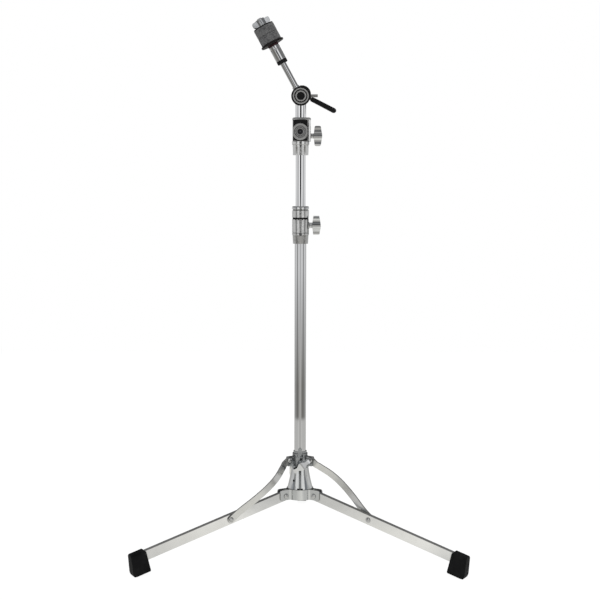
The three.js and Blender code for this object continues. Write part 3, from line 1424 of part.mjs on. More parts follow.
// Middle tube and upper clamp
const levels = upperLevels();
const middleTop = levels.base + UPPER_TUBE_DEPTH;
const middleInner = MIDDLE_TUBE_RADIUS - TUBE_WALL;
const middleTube = tube(MIDDLE_TUBE_RADIUS, middleInner, middleTop - MIDDLE_TUBE_LENGTH, middleTop);
stand.add(piece("middle_tube", middleTube, chrome));
stand.add(piece("upper_clamp_body", upperClampBody(), castMetal));
stand.add(piece("upper_clamp_bush", upperClampBush(), whiteNylon));
stand.add(piece("upper_clamp_cap", upperClampCap(), castMetal));
stand.add(piece("clamp_panel", clampPanel(), blackPlastic));
stand.add(piece("clamp_disc", clampDisc(), chrome));
const upperBushRadius = UPPER_TUBE_RADIUS + UPPER_BUSH_WALL + RUNNING_GAP;
const upperBolt = piece(
  "upper_wing_bolt",
  wingBolt(UPPER_BLOCK_RIGHT - upperBushRadius - RUNNING_GAP),
  chrome,
);
stand.add(placed(upperBolt, UPPER_BLOCK_RIGHT, 0, levels.block + UPPER_BOLT_RISE));

// Upper tube and tilter
const upperTop = levels.capTop + FERRULE_SOCKET_DEPTH;
const upperInner = UPPER_TUBE_RADIUS - TUBE_WALL;
const upperTube = tube(UPPER_TUBE_RADIUS, upperInner, upperTop - UPPER_TUBE_LENGTH, upperTop);
stand.add(piece("upper_tube", upperTube, chrome));
const tilter = new THREE.Group();
stand.add(placed(tilter, 0, 0, levels.tilter));
tilter.add(piece("tilter_base", tilterBase(), chrome));
tilter.add(piece("tilter_bolt", tilterBolt(), darkSteel));
tilter.add(piece("tilter_dial", tilterDial(), blackPlastic));
tilter.add(piece("dial_outer_ring", dialRing(DIAL_OUTER_RING), chrome));
tilter.add(piece("dial_inner_ring", dialRing(DIAL_INNER_RING), chrome));
const lever = new THREE.Group();
lever.rotation.y = radians(LEVER_DROOP);
lever.add(piece("lever_nut", leverNut(), castMetal));
lever.add(piece("lever_grip", leverGrip(), blackPlastic));
tilter.add(lever);

// Tilting arm, felts and wing nut
const arm = new THREE.Group();
arm.rotation.y = radians(-ARM_LEAN);
tilter.add(arm);
const seat = seatLevels();
arm.add(piece("tilter_head", tilterHead(), chrome));
arm.add(piece("arm_rod", armRod(), chrome));
arm.add(piece("sleeve_band", sleeveBand(), blackPlastic));
arm.add(piece("arm_sleeve", armSleeve(), chrome));
const rodBore = ARM_ROD_RADIUS + RUNNING_GAP;
const seatHub = tube(SEAT_HUB_RADIUS, rodBore, seat.hub, seat.hub + SEAT_HUB_LENGTH, TURNED_SIDES);
arm.add(piece("seat_hub", seatHub, blackPlastic));
arm.add(piece("seat_washer", seatWasher(), blackPlastic));
arm.add(piece("cymbal_sleeve", cymbalSleeve(), whiteNylon));
arm.add(piece("lower_felt", felt(seat.felt), greyFelt));
arm.add(piece("upper_felt", felt(seat.topFelt), greyFelt));
const washerBore = THREAD_RADIUS + RUNNING_GAP;
const washerTop = seat.topWasher + TOP_WASHER_THICKNESS;
const topWasher = tube(TOP_WASHER_RADIUS, washerBore, seat.topWasher, washerTop, TURNED_SIDES);
arm.add(piece("top_washer", topWasher, blackPlastic));
const nut = piece("wing_nut", wingNut(), castMetal);
nut.rotation.z = radians(NUT_TURN);
arm.add(placed(nut, 0, 0, seat.nut));

export default stand;
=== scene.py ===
import math

import bmesh
import bpy
from mathutils import Matrix, Vector, noise


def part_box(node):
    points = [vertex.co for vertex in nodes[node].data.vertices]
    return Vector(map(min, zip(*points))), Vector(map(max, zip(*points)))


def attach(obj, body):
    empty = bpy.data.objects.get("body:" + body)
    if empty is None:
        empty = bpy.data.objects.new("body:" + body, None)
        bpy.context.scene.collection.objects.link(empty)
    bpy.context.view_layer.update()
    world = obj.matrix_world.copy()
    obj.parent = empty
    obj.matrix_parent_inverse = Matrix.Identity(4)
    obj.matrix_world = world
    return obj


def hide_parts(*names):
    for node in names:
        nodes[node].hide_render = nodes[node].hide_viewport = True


# Straight cymbal stand: finishes, felts, floor, studio, lamps and camera. Lengths are in metres.

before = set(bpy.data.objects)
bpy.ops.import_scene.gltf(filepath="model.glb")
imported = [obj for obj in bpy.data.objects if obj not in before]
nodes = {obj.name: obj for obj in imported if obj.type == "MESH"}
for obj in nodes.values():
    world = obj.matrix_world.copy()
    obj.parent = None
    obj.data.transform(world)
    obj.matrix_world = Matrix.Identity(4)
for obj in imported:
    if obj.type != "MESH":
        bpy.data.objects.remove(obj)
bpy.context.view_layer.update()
scene = bpy.context.scene

# Places and angles of the CAD part
FLOOR_LEVEL = -0.098
TILTER_LEVEL = 0.7683
ARM_LEAN = math.radians(28.5)
LEVER_RIM = 0.0192

# Meshes and finishes
WELD_REACH = 0.00001
SMOOTH_ANGLE = math.radians(32)
EDGE = 0.0003
EDGE_SAMPLES = 4
# Painted shade in corners and narrow gaps: reach and samples of the occlusion, the occlusion levels from
# full to no darkening, and the shade's colour
PAINTED_SHADE_REACH = 0.003
PAINTED_SHADE_SAMPLES = 6
PAINTED_SHADE_DEEP = 0.4
PAINTED_SHADE_OPEN = 0.92
PAINTED_SHADE_COLOUR = (0.05, 0.05, 0.05, 1.0)
GLOSS_LOW = 0.3
GLOSS_HIGH = 0.75
RIM_BLEND = 0.0002
# A mix node's sockets for the share and the two colours, and the one for the mixed colour
MIX_SOCKETS = (0, 6, 7)
MIX_RESULT = 2
NO_STRETCH = (1, 1, 1)
TUBE_STRETCH = (1, 1, 0.15)
BLACK = (0, 0, 0)
WHITE = (1, 1, 1)

# Felts: FELT_BORE is the radius of the hole, and the starts are measured along the arm from the tilter
FELT_RADIUS = 0.0205
FELT_BORE = 0.0064
FELT_SOFT = 0.0011
FELT_LIP = 0.0006
FELT_LIP_WIDTH = 0.0008
FELT_THICKNESS = 0.0164
FELT_GAP = 0.0003
FELT_SIDES = 96
FACE_STEPS = 6
CORNER_STEPS = 6
SIDE_STEPS = 8
LUMP_SCALE = 260
LUMP_DEPTH = 0.00022
FUZZ_SCALE = 1300
FUZZ_DEPTH = 0.00016
FELT_INSET = 0.0003
LOWER_FELT_START = 0.1155
UPPER_FELT_START = LOWER_FELT_START + FELT_THICKNESS + FELT_GAP

# Floor: reflections show a pale sheet of it round the stand, and the studio beyond that
FLOOR_FRONT = -1.5
FLOOR_BACK = 2.6
FLOOR_HALF_WIDTH = 2.4
FLOOR_DROP = 0.0005
FLOOR_COLOUR = (0.92, 0.92, 0.92, 1)
FLOOR_WHITE = 1.05
FLOOR_WHITE_SHARE = 0.9
FLOOR_SHEET = 1.26
SHEET_BLEND = 0.03
NEAR_HALF_WIDTH = 0.25
NEAR_FLOOR_END = 0.63
FAR_FLOOR_START = 0.89

# Camera: tipped down a little, with the frame shifted down as the photograph's framing is
PIXELS = 600
FOCAL_PIXELS = 1188
SENSOR = 36
CAMERA_DISTANCE = 2.264
CAMERA_LEVEL = 0.6077
CAMERA_PITCH = math.radians(2.263)
CAMERA_ROLL = math.radians(-0.12)
AXIS_ROW = 228
COLUMN_COLUMN = 300.62
CLIP_START = 0.05
CLIP_END = 50


# ---- node helpers
def new_material(name):
    material = bpy.data.materials.new(name)
    material.use_nodes = True
    tree = material.node_tree
    return material, tree, tree.nodes["Principled BSDF"]


def object_vector(tree, stretch=NO_STRETCH):
    coordinates = tree.nodes.new("ShaderNodeTexCoord")
    mapping = tree.nodes.new("ShaderNodeMapping")
    mapping.inputs["Scale"].default_value = stretch
    tree.links.new(coordinates.outputs["Object"], mapping.inputs["Vector"])
    return mapping.outputs["Vector"]


def axes(tree, vector):
    made = tree.nodes.new("ShaderNodeSeparateXYZ")
    tree.links.new(vector, made.inputs["Vector"])
    return made.outputs["X"], made.outputs["Y"], made.outputs["Z"]


def maths(tree, operation, *values):
    made = tree.nodes.new("ShaderNodeMath")
    made.operation = operation
    for socket, value in zip(made.inputs, values):
        if isinstance(value, (int, float)):
            socket.default_value = value
        else:
            tree.links.new(value, socket)
    return made.outputs[0]


def noise_value(tree, vector, scale, detail, roughness):
    made = tree.nodes.new("ShaderNodeTexNoise")
    made.inputs["Scale"].default_value = scale
    made.inputs["Detail"].default_value = detail
    made.inputs["Roughness"].default_value = roughness
    tree.links.new(vector, made.inputs["Vector"])
    return made.outputs["Fac"]


def ramp(tree, value, stops):
    made = tree.nodes.new("ShaderNodeValToRGB")
    elements = made.color_ramp.elements
    elements[0].position, elements[1].position = stops[0][0], stops[-1][0]
    elements[0].color = (*stops[0][1], 1.0)
    elements[1].color = (*stops[-1][1], 1.0)
    for place, colour in stops[1:-1]:
        elements.new(place).color = (*colour, 1.0)
    tree.links.new(value, made.inputs["Fac"])
    return made.outputs["Color"]


def map_range(tree, value, low, high, to_low=0.0, to_high=1.0):
    made = tree.nodes.new("ShaderNodeMapRange")
    made.inputs["From Min"].default_value = low
    made.inputs["From Max"].default_value = high
    made.inputs["To Min"].default_value = to_low
    made.inputs["To Max"].default_value = to_high
    tree.links.new(value, made.inputs["Value"])
    return made.outputs["Result"]


def colour_mix(tree, share, first, second, blend="MIX"):
    made = tree.nodes.new("ShaderNodeMix")
    made.data_type = "RGBA"
    made.blend_type = blend
    for socket, value in zip(MIX_SOCKETS, (share, first, second)):
        if isinstance(value, tuple):
            made.inputs[socket].default_value = value
        else:
            tree.links.new(value, made.inputs[socket])
    return made.outputs[MIX_RESULT]


def shader_mix(tree, share, first, second):
    made = tree.nodes.new("ShaderNodeMixShader")
    for socket, value in zip(made.inputs, (share, first, second)):
        tree.links.new(value, socket)
    return made.outputs["Shader"]


def turn_from_front(tree, x, y):
    """The bearing as a share of half a turn: 0 straight in front of the stand, 1 straight behind it."""
    forwards = maths(tree, "MULTIPLY", y, -1.0)
    bearing = maths(tree, "ARCTAN2", maths(tree, "ABSOLUTE", x), forwards)
    return maths(tree, "DIVIDE", bearing, math.pi)


def bump(tree, shader, height, strength, distance, edge=0.0):
    made = tree.nodes.new("ShaderNodeBump")
    made.inputs["Strength"].default_value = strength
    made.inputs["Distance"].default_value = distance
    tree.links.new(height, made.inputs["Height"])
    if edge:
        rounded = tree.nodes.new("ShaderNodeBevel")
        rounded.samples = EDGE_SAMPLES
        rounded.inputs["Radius"].default_value = edge
        tree.links.new(rounded.outputs["Normal"], made.inputs["Normal"])
    tree.links.new(made.outputs["Normal"], shader.inputs["Normal"])


def uneven_gloss(tree, shader, vector, rough, scale=150, detail=4, roughness=0.6):
    smear = noise_value(tree, vector, scale, detail, roughness)
    tree.links.new(map_range(tree, smear, GLOSS_LOW, GLOSS_HIGH, *rough), shader.inputs["Roughness"])


def painted_corner_shade(tree, colour, share):
    """Painted shade: the colour grows darker in corners and narrow gaps, where ambient occlusion finds them.
    """
    corner = tree.nodes.new("ShaderNodeAmbientOcclusion")
    corner.samples = PAINTED_SHADE_SAMPLES
    corner.inputs["Distance"].default_value = PAINTED_SHADE_REACH
    hidden = map_range(tree, corner.outputs["AO"], PAINTED_SHADE_DEEP, PAINTED_SHADE_OPEN, share, 0.0)
    return colour_mix(tree, hidden, colour, PAINTED_SHADE_COLOUR, "MULTIPLY")


# ---- finishes
def plated(name, dark, light, rough, wave_scale, wave_depth, corner_shade, stretch=NO_STRETCH, edge=EDGE):
    """Plated metal: faint haze in its colour, uneven gloss and a slight unevenness of the metal under it."""
    material, tree, shader = new_material(name)
    shader.inputs["Metallic"].default_value = 1.0
    vector = object_vector(tree, stretch)
    haze = noise_value(tree, vector, scale=26, detail=4, roughness=0.6)
    colour = ramp(tree, haze, [(0.3, dark), (0.7, light)])
    # Painted shade: the colour is darkened in corners and gaps found by ambient occlusion
    if corner_shade:
        colour = painted_corner_shade(tree, colour, corner_shade)
    tree.links.new(colour, shader.inputs["Base Color"])
    uneven_gloss(tree, shader, vector, rough, scale=90, detail=5, roughness=0.65)
    wave = noise_value(tree, vector, wave_scale, detail=2, roughness=0.5)
    bump(tree, shader, wave, strength=0.5, distance=wave_depth, edge=edge)
    return material


def moulded(name, dark, light, rough, grain_scale, grain_depth, shine):
    """Moulded plastic or rubber: slightly mottled colour, uneven gloss and a fine grain."""
    material, tree, shader = new_material(name)
    shader.inputs["Specular IOR Level"].default_value = shine
    vector = object_vector(tree)
    mottle = noise_value(tree, vector, scale=60, detail=4, roughness=0.6)
    tree.links.new(ramp(tree, mottle, [(0.32, dark), (0.7, light)]), shader.inputs["Base Color"])
    uneven_gloss(tree, shader, vector, rough)
    grain = noise_value(tree, vector, grain_scale, detail=3, roughness=0.6)
    bump(tree, shader, grain, strength=0.6, distance=grain_depth, edge=EDGE)
    return material


def felted(name, dark, light):
    """Pressed wool: blotched and flecked colour, a soft nap and matted fibres."""
    material, tree, shader = new_material(name)
    shader.inputs["Roughness"].default_value = 0.95
    shader.inputs["Sheen Weight"].default_value = 0.12
    shader.inputs["Sheen Roughness"].default_value = 0.5
    vector = object_vector(tree)
    blotch = noise_value(tree, vector, scale=170, detail=2, roughness=0.5)
    fleck = noise_value(tree, vector, scale=620, detail=5, roughness=0.75)
    both = maths(tree, "MULTIPLY_ADD", blotch, 0.8, fleck)
    tree.links.new(ramp(tree, both, [(0.66, dark), (1.0, light)]), shader.inputs["Base Color"])
    fibres = noise_value(tree, vector, scale=900, detail=6, roughness=0.8)
    bump(tree, shader, fibres, strength=0.9, distance=0.0012)
    return material


def two_toned(name):
    """The lever's nut: its plate is black up to the rim, and what stands out from it is plated."""
    material, tree, shader = new_material(name)
    shader.inputs["Specular IOR Level"].default_value = 0.3
    vector = object_vector(tree)
    x, _, _ = axes(tree, vector)
    outside = map_range(tree, x, LEVER_RIM, LEVER_RIM + RIM_BLEND)
    tree.links.new(outside, shader.inputs["Metallic"])
    cloud = noise_value(tree, vector, scale=120, detail=4, roughness=0.6)
    plate = ramp(tree, cloud, [(0.3, (0.003, 0.003, 0.0033)), (0.7, (0.007, 0.007, 0.0075))])
    stub = ramp(tree, cloud, [(0.3, (0.50, 0.50, 0.49)), (0.7, (0.62, 0.62, 0.61))])
    tree.links.new(colour_mix(tree, outside, plate, stub), shader.inputs["Base Color"])
    uneven_gloss(tree, shader, vector, (0.26, 0.4))
    grain = noise_value(tree, vector, scale=900, detail=3, roughness=0.6)
    bump(tree, shader, grain, strength=0.5, distance=0.00005, edge=EDGE)
    return material


def ringed(name, low, high):
    """The clamp's round disc, whose box runs from low to high: turned rings round a dark centre."""
    material, tree, shader = new_material(name)
    shader.inputs["Metallic"].default_value = 1.0
    vector = object_vector(tree)
    x, _, z = axes(tree, vector)
    across = tree.nodes.new("ShaderNodeCombineXYZ")
    tree.links.new(x, across.inputs["X"])
    tree.links.new(z, across.inputs["Z"])
    distance = tree.nodes.new("ShaderNodeVectorMath")
    distance.operation = "DISTANCE"
    tree.links.new(across.outputs["Vector"], distance.inputs[0])
    distance.inputs[1].default_value = ((low[0] + high[0]) / 2, 0, (low[2] + high[2]) / 2)
    share = map_range(tree, distance.outputs["Value"], 0.0, (high[0] - low[0]) / 2)
    dark, mid, light = (0.05, 0.05, 0.055), (0.30, 0.30, 0.30), (0.62, 0.62, 0.61)
    tones = [(0.0, mid), (0.10, dark), (0.38, dark), (0.44, light), (0.55, mid), (0.60, dark)]
    tones += [(0.66, light), (0.74, mid), (0.79, dark), (0.85, light), (1.0, light)]
    tree.links.new(ramp(tree, share, tones), shader.inputs["Base Color"])
    uneven_gloss(tree, shader, vector, (0.34, 0.48), scale=300)
    levels = [(0.0, BLACK), (0.38, BLACK), (0.44, WHITE), (0.56, WHITE), (0.60, BLACK)]
    levels += [(0.65, WHITE), (0.75, WHITE), (0.79, BLACK), (0.84, WHITE), (1.0, WHITE)]
    bump(tree, shader, ramp(tree, share, levels), strength=0.6, distance=0.0002, edge=EDGE)
    return material


# Dark and light colour, roughness from and to, scale and depth of the waves, painted shade in the corners
PLATED = {
    "chrome_turned": ((0.78, 0.79, 0.80), (0.86, 0.865, 0.87), (0.04, 0.08), 60, 0.0001, 0.0),
    "chrome_pressed": ((0.62, 0.63, 0.625), (0.71, 0.72, 0.71), (0.08, 0.15), 34, 0.0005, 0.8),
    "chrome_leg": ((0.80, 0.80, 0.785), (0.88, 0.88, 0.865), (0.08, 0.15), 34, 0.0005, 0.75),
    "chrome_strap": ((0.64, 0.64, 0.62), (0.74, 0.74, 0.72), (0.12, 0.2), 34, 0.0005, 0.0),
    "chrome_cast": ((0.66, 0.665, 0.655), (0.78, 0.78, 0.77), (0.14, 0.24), 180, 0.0003, 0.88),
    # The collar's colour is darker than the cast chrome's as painted shade for its dark gaps
    "chrome_collar_shaded": ((0.33, 0.345, 0.355), (0.52, 0.535, 0.54), (0.12, 0.2), 180, 0.0003, 0.95),
    "chrome_bolt": ((0.62, 0.63, 0.63), (0.76, 0.765, 0.765), (0.05, 0.09), 60, 0.0001, 0.9),
    "chrome_rivet": ((0.46, 0.46, 0.455), (0.62, 0.62, 0.61), (0.14, 0.24), 180, 0.0003, 0.95),
    "chrome_dull": ((0.52, 0.53, 0.545), (0.76, 0.775, 0.795), (0.18, 0.30), 220, 0.0003, 0.0),
    "silver_satin": ((0.54, 0.54, 0.53), (0.64, 0.64, 0.63), (0.38, 0.5), 400, 0.00005, 0.0),
    "plated_dark": ((0.22, 0.22, 0.23), (0.32, 0.32, 0.33), (0.26, 0.4), 200, 0.0002, 0.0),
}
DRAWN_TUBE = ((0.80, 0.81, 0.82), (0.87, 0.875, 0.88), (0.02, 0.045), 7, 0.0005, 0.0)
# Dark and light colour, roughness from and to, scale and depth of the grain, shine
MOULDED = {
    "plastic_black": ((0.002, 0.002, 0.0022), (0.006, 0.006, 0.0066), (0.34, 0.46), 1800, 0.0001, 0.25),
    "plastic_seat": ((0.004, 0.003, 0.003), (0.010, 0.007, 0.007), (0.4, 0.55), 1500, 0.0001, 0.25),
    "plastic_wine": ((0.028, 0.010, 0.012), (0.050, 0.018, 0.021), (0.4, 0.55), 1500, 0.0001, 0.25),
    "grip_black": ((0.002, 0.002, 0.0022), (0.006, 0.006, 0.0065), (0.38, 0.52), 1400, 0.00015, 0.25),
    "rubber_black": ((0.0025, 0.0025, 0.0027), (0.007, 0.007, 0.0074), (0.52, 0.68), 900, 0.0003, 0.12),
    "nylon_white": ((0.70, 0.69, 0.65), (0.80, 0.79, 0.76), (0.35, 0.5), 700, 0.0001, 0.25),
}
finishes = {name: plated(name, *values) for name, values in PLATED.items()}
finishes.update({name: moulded(name, *values) for name, values in MOULDED.items()})
finishes["chrome_tube"] = plated("chrome_tube", *DRAWN_TUBE, stretch=TUBE_STRETCH, edge=0.0)
finishes["lever_two_tone"] = two_toned("lever_two_tone")
finishes["disc_rings"] = ringed("disc_rings", *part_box("clamp_disc"))
felt_grey = felted("felt_grey", (0.034, 0.034, 0.037), (0.108, 0.108, 0.108))


def one_per_leg(*names):
    return [f"{name}_{number}" for name in names for number in (1, 2, 3)]


PIECES = {
    "chrome_tube": ["base_tube", "middle_tube", "upper_tube"],
    "chrome_turned": ["hub_plug", "tilter_base", "tilter_head", "arm_rod", "arm_sleeve"],
    "chrome_pressed": ["hub_bell", "leg_bracket"],
    "chrome_leg": one_per_leg("leg"),
    "chrome_strap": one_per_leg("brace"),
    "chrome_cast": ["lower_clamp_body", "memory_lock", "upper_clamp_body", "upper_clamp_cap"],
    "chrome_collar_shaded": ["sliding_collar"],
    "chrome_bolt": ["collar_wing_bolt", "lower_wing_bolt", "upper_wing_bolt"],
    "chrome_rivet": one_per_leg("leg_rivet", "leg_stud", "brace_rivet", "collar_rivet"),
    "chrome_dull": ["wing_nut"],
    "silver_satin": ["dial_outer_ring", "dial_inner_ring"],
    "plated_dark": ["lower_clamp_pin", "memory_lock_screw", "tilter_bolt"],
    "plastic_black": ["lower_clamp_bush", "clamp_panel", "tilter_dial", "sleeve_band", "top_washer"],
    "plastic_seat": ["seat_washer"],
    "plastic_wine": ["seat_hub"],
    "grip_black": ["lever_grip"],
    "rubber_black": one_per_leg("rubber_foot"),
    "nylon_white": ["upper_clamp_bush", "cymbal_sleeve"],
    "lever_two_tone": ["lever_nut"],
    "disc_rings": ["clamp_disc"],
}


def set_material(piece, material):
    piece.data.materials.clear()
    piece.data.materials.append(material)
    piece.data.polygons.foreach_set("material_index", [0] * len(piece.data.polygons))


def smooth(piece):
    """Rounds the look of curved faces and keeps the real edges sharp, without moving a vertex."""
    mesh = piece.data
    for name in ("custom_normal", "sharp_face", "sharp_edge"):
        if name in mesh.attributes:
            mesh.attributes.remove(mesh.attributes[name])
    mesh.polygons.foreach_set("use_smooth", [True] * len(mesh.polygons))
    weld = piece.modifiers.new("weld", "WELD")
    weld.merge_threshold = WELD_REACH
    split = piece.modifiers.new("edges", "EDGE_SPLIT")
    split.split_angle = SMOOTH_ANGLE
    split.use_edge_sharp = False
    mesh.update()


for finish, names in PIECES.items():
    for name in names:
        set_material(nodes[name], finishes[finish])
        smooth(nodes[name])


# ---- felts: pressed wool discs with soft, slightly uneven edges
ARM_TURN = Matrix.Translation((0, 0, TILTER_LEVEL)) @ Matrix.Rotation(-ARM_LEAN, 4, "Y")


def felt_outline(low, high):
    """Radius and level of each ring of points, from the bore's lower lip round the side to its upper lip."""
    flat = FELT_RADIUS - FELT_SOFT
    half = [(FELT_BORE, FELT_LIP), (FELT_BORE + FELT_LIP_WIDTH, 0.0)]
    half += [(FELT_BORE + (flat - FELT_BORE) * step / FACE_STEPS, 0.0) for step in range(1, FACE_STEPS + 1)]
    for step in range(1, CORNER_STEPS):
        angle = math.pi / 2 * step / CORNER_STEPS
        half.append((flat + FELT_SOFT * math.sin(angle), FELT_SOFT * (1 - math.cos(angle))))
    rise = (high - low - FELT_SOFT * 2) / SIDE_STEPS
    outline = [(radius, low + inset) for radius, inset in half]
    outline += [(FELT_RADIUS, low + FELT_SOFT + rise * step) for step in range(SIDE_STEPS + 1)]
    outline += [(radius, high - inset) for radius, inset in reversed(half)]
    return outline


def felt(name, low, high, seed):
    outline = felt_outline(low, high)
    mesh = bmesh.new()
    columns = []
    for side in range(FELT_SIDES):
        turn = math.tau * side / FELT_SIDES
        column = []
        for radius, level in outline:
            point = Vector((radius * math.cos(turn), radius * math.sin(turn), level))
            outward = (radius - FELT_BORE) / (FELT_RADIUS - FELT_BORE)
            lump = noise.noise(point * LUMP_SCALE + Vector((seed, 0, 0)))
            fuzz = noise.noise(point * FUZZ_SCALE + Vector((0, seed, 0)))
            shift = (lump * LUMP_DEPTH + fuzz * FUZZ_DEPTH - FELT_INSET) * outward
            factor = 1 + shift / radius
            column.append(mesh.verts.new((point.x * factor, point.y * factor, point.z)))
        columns.append(column)
    for side, here in enumerate(columns):
        there = columns[(side + 1) % FELT_SIDES]
        for i in range(len(outline)):
            j = (i + 1) % len(outline)
            mesh.faces.new((here[i], there[i], there[j], here[j]))
    bmesh.ops.recalc_face_normals(mesh, faces=mesh.faces)
    data = bpy.data.meshes.new(name)
    mesh.to_mesh(data)
    mesh.free()
    data.polygons.foreach_set("use_smooth", [True] * len(data.polygons))
    data.transform(ARM_TURN)
    piece = bpy.data.objects.new(name, data)
    scene.collection.objects.link(piece)
    set_material(piece, felt_grey)
    return piece


lower = felt("lower_felt_pad", LOWER_FELT_START, LOWER_FELT_START + FELT_THICKNESS, seed=3.7)
upper = felt("upper_felt_pad", UPPER_FELT_START, UPPER_FELT_START + FELT_THICKNESS, seed=9.1)
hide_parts("lower_felt")
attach(lower, "arm")
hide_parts("upper_felt")
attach(upper, "top_felt")
set_material(nodes["lower_felt"], felt_grey)
set_material(nodes["upper_felt"], felt_grey)


# ---- floor: white to the camera with a faint shadow of the stand, and toned in reflections
NEAR_FLOOR = [
    (0.0, (0.60, 0.60, 0.585)),
    (0.26, (0.74, 0.735, 0.715)),
    (0.44, (0.80, 0.795, 0.765)),
    (0.60, (0.86, 0.855, 0.825)),
    (0.72, (0.86, 0.855, 0.83)),
    (0.88, (0.70, 0.70, 0.685)),
    (1.0, (0.62, 0.62, 0.61)),
]
FAR_FLOOR = [
    (0.0, (0.46, 0.455, 0.44)),
    (0.08, (0.46, 0.455, 0.44)),
    (0.17, (0.60, 0.595, 0.575)),
    (0.29, (0.50, 0.495, 0.48)),
    (0.43, (0.51, 0.505, 0.49)),
    (1.0, (0.51, 0.505, 0.49)),
]


def mirrored_floor(tree):
    """The floor in reflections: NEAR_FLOOR from left to right, then FAR_FLOOR by bearing, then nothing."""
    place = tree.nodes.new("ShaderNodeTexCoord").outputs["Object"]
    length = tree.nodes.new("ShaderNodeVectorMath")
    length.operation = "LENGTH"
    tree.links.new(place, length.inputs[0])
    distance = length.outputs["Value"]
    x, y, _ = axes(tree, place)
    near = ramp(tree, map_range(tree, x, -NEAR_HALF_WIDTH, NEAR_HALF_WIDTH), NEAR_FLOOR)
    far = ramp(tree, turn_from_front(tree, x, y), FAR_FLOOR)
    pale = tree.nodes.new("ShaderNodeEmission")
    far_share = map_range(tree, distance, NEAR_FLOOR_END, FAR_FLOOR_START)
    tree.links.new(colour_mix(tree, far_share, near, far), pale.inputs["Color"])
    through = tree.nodes.new("ShaderNodeBsdfTransparent")
    beyond = map_range(tree, distance, FLOOR_SHEET - SHEET_BLEND, FLOOR_SHEET + SHEET_BLEND)
    return shader_mix(tree, beyond, pale.outputs["Emission"], through.outputs["BSDF"])


def floor_finish():
    material = bpy.data.materials.new("floor_white")
    material.use_nodes = True
    tree = material.node_tree
    tree.nodes.remove(tree.nodes["Principled BSDF"])
    diffuse = tree.nodes.new("ShaderNodeBsdfDiffuse")
    diffuse.inputs["Color"].default_value = FLOOR_COLOUR
    white = tree.nodes.new("ShaderNodeEmission")
    white.inputs["Color"].default_value = (*WHITE, 1)
    white.inputs["Strength"].default_value = FLOOR_WHITE
    rays = tree.nodes.new("ShaderNodeLightPath").outputs
    seen = maths(tree, "MULTIPLY", rays["Is Camera Ray"], FLOOR_WHITE_SHARE)
    unseen = shader_mix(tree, rays["Is Glossy Ray"], diffuse.outputs["BSDF"], mirrored_floor(tree))
    surface = shader_mix(tree, seen, unseen, white.outputs["Emission"])
    tree.links.new(surface, tree.nodes["Material Output"].inputs["Surface"])
    return material


floor_top = FLOOR_LEVEL - FLOOR_DROP
floor_mesh = bpy.data.meshes.new("floor")
floor_mesh.from_pydata(
    [
        (-FLOOR_HALF_WIDTH, FLOOR_FRONT, floor_top),
        (FLOOR_HALF_WIDTH, FLOOR_FRONT, floor_top),
        (FLOOR_HALF_WIDTH, FLOOR_BACK, floor_top),
        (-FLOOR_HALF_WIDTH, FLOOR_BACK, floor_top),
    ],
    [],
    [(0, 1, 2, 3)],
)
floor_mesh.materials.append(floor_finish())
floor = bpy.data.objects.new("floor", floor_mesh)
scene.collection.objects.link(floor)


# ---- studio: white to the camera, an even fill for the light, and rings of tone in reflections
def grey(level):
    return (level, level, level * 1.005)


# Tones by bearing, from 0 straight in front of the stand to 1 straight behind it
UPPER_RING = [
    (0.0, (0.21, 0.215, 0.22)),
    (0.045, (0.23, 0.235, 0.24)),
    (0.095, grey(0.92)),
    (0.252, grey(0.97)),
    (0.272, (0.20, 0.21, 0.23)),
    (0.37, (0.24, 0.25, 0.27)),
    (0.41, (0.40, 0.41, 0.43)),
    (0.70, (0.44, 0.445, 0.46)),
    (0.84, grey(0.34)),
    (0.92, grey(0.07)),
    (1.0, grey(0.05)),
]
LEVEL_RING = [
    (0.0, grey(0.015)),
    (0.080, grey(0.02)),
    (0.105, grey(0.97)),
    (0.252, grey(0.97)),
    (0.272, grey(0.30)),
    (0.37, grey(0.30)),
    (0.41, grey(0.70)),
    (0.70, grey(0.70)),
    (1.0, grey(0.66)),
]
MIDDLE_RING = [
    (0.0, grey(0.42)),
    (0.03, grey(0.44)),
    (0.08, grey(0.66)),
    (0.25, grey(0.70)),
    (0.29, grey(0.24)),
    (0.37, grey(0.24)),
    (0.42, grey(0.66)),
    (0.56, grey(0.64)),
    (0.66, grey(0.50)),
    (1.0, grey(0.55)),
]
LOW_RING = [
    (0.0, (0.48, 0.47, 0.45)),
    (0.06, (0.42, 0.41, 0.39)),
    (0.12, (0.27, 0.265, 0.25)),
    (0.20, (0.27, 0.265, 0.25)),
    (0.25, (0.17, 0.165, 0.155)),
    (0.36, (0.17, 0.165, 0.155)),
    (0.45, (0.25, 0.245, 0.235)),
    (0.60, (0.29, 0.29, 0.28)),
    (0.72, (0.42, 0.42, 0.41)),
    (1.0, (0.50, 0.50, 0.49)),
]
# Below the upper ring, each ring takes over from the one above it between two heights of the ray
LOWER_RINGS = ((LEVEL_RING, 0.115, 0.095), (MIDDLE_RING, -0.005, -0.050), (LOW_RING, -0.075, -0.170))
# The ceiling takes over above the rings, and grows lighter straight overhead
CEILING_START = 0.34
CEILING_FULL = 0.44
CEILING = [(0.40, grey(0.17)), (0.80, grey(0.20)), (0.90, grey(0.50)), (1.0, grey(0.60))]
FILL_COLOUR = (0.62, 0.62, 0.625)


def mirrored_studio(tree):
    coordinates = tree.nodes.new("ShaderNodeTexCoord")
    x, y, height = axes(tree, coordinates.outputs["Generated"])
    turn = turn_from_front(tree, x, y)
    tone = ramp(tree, turn, UPPER_RING)
    for ring, top, bottom in LOWER_RINGS:
        tone = colour_mix(tree, map_range(tree, height, top, bottom), tone, ramp(tree, turn, ring))
    ceiling_share = map_range(tree, height, CEILING_START, CEILING_FULL)
    return colour_mix(tree, ceiling_share, tone, ramp(tree, height, CEILING))


def background(tree, colour):
    made = tree.nodes.new("ShaderNodeBackground")
    if isinstance(colour, tuple):
        made.inputs["Color"].default_value = (*colour, 1)
    else:
        tree.links.new(colour, made.inputs["Color"])
    return made.outputs["Background"]


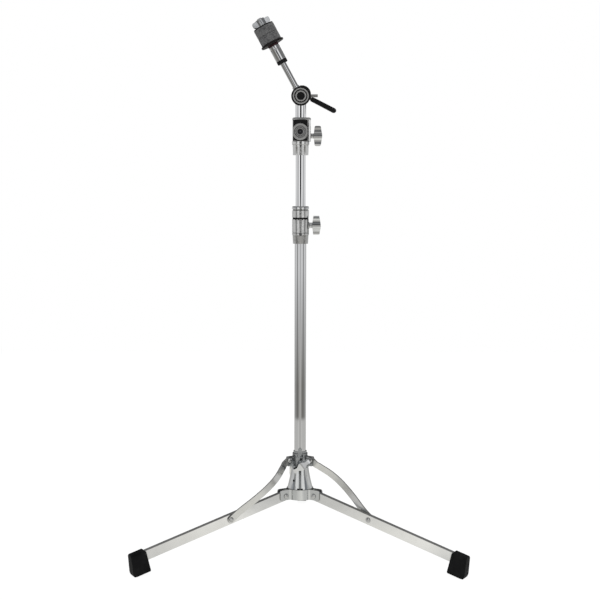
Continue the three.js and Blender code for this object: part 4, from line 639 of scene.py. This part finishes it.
world = bpy.data.worlds.new("studio")
scene.world = world
world.use_nodes = True
tree = world.node_tree
tree.nodes.clear()
rays = tree.nodes.new("ShaderNodeLightPath").outputs
seen = maths(tree, "MAXIMUM", rays["Is Camera Ray"], rays["Is Transmission Ray"])
mirrored = background(tree, mirrored_studio(tree))
unseen = shader_mix(tree, rays["Is Glossy Ray"], background(tree, FILL_COLOUR), mirrored)
surface = shader_mix(tree, seen, unseen, background(tree, WHITE))
tree.links.new(surface, tree.nodes.new("ShaderNodeOutputWorld").inputs["Surface"])


# ---- lamps: two soft boxes at the front sides and one overhead, hidden from the metal's reflections
def soft_box(name, place, target, width, height, power):
    lamp = bpy.data.lights.new(name, "AREA")
    lamp.shape = "RECTANGLE"
    lamp.size = width
    lamp.size_y = height
    lamp.energy = power
    holder = bpy.data.objects.new(name, lamp)
    scene.collection.objects.link(holder)
    holder.location = place
    holder.rotation_euler = (Vector(target) - Vector(place)).to_track_quat("-Z", "Y").to_euler()
    holder.visible_glossy = False
    holder.visible_camera = False


soft_box("soft_left", (-1.9, -1.6, 1.3), (0, 0, 0.35), width=1.1, height=1.6, power=22)
soft_box("soft_right", (1.9, -1.5, 1.1), (0, 0, 0.35), width=1.1, height=1.6, power=16)
soft_box("soft_top", (0.0, 0.1, 2.3), (0, 0, 0.3), width=1.6, height=1.6, power=16)


# ---- camera
camera_data = bpy.data.cameras.new("camera")
camera_data.sensor_fit = "HORIZONTAL"
camera_data.sensor_width = SENSOR
camera_data.lens = FOCAL_PIXELS / PIXELS * SENSOR
camera_data.shift_x = (PIXELS / 2 - COLUMN_COLUMN) / PIXELS
camera_data.shift_y = (AXIS_ROW - PIXELS / 2) / PIXELS
camera_data.clip_start = CLIP_START
camera_data.clip_end = CLIP_END
camera = bpy.data.objects.new("camera", camera_data)
scene.collection.objects.link(camera)
camera.location = (0, -CAMERA_DISTANCE, CAMERA_LEVEL)
camera.rotation_euler = (math.radians(90) - CAMERA_PITCH, CAMERA_ROLL, 0)
scene.camera = camera
scene.view_settings.view_transform = "Standard"
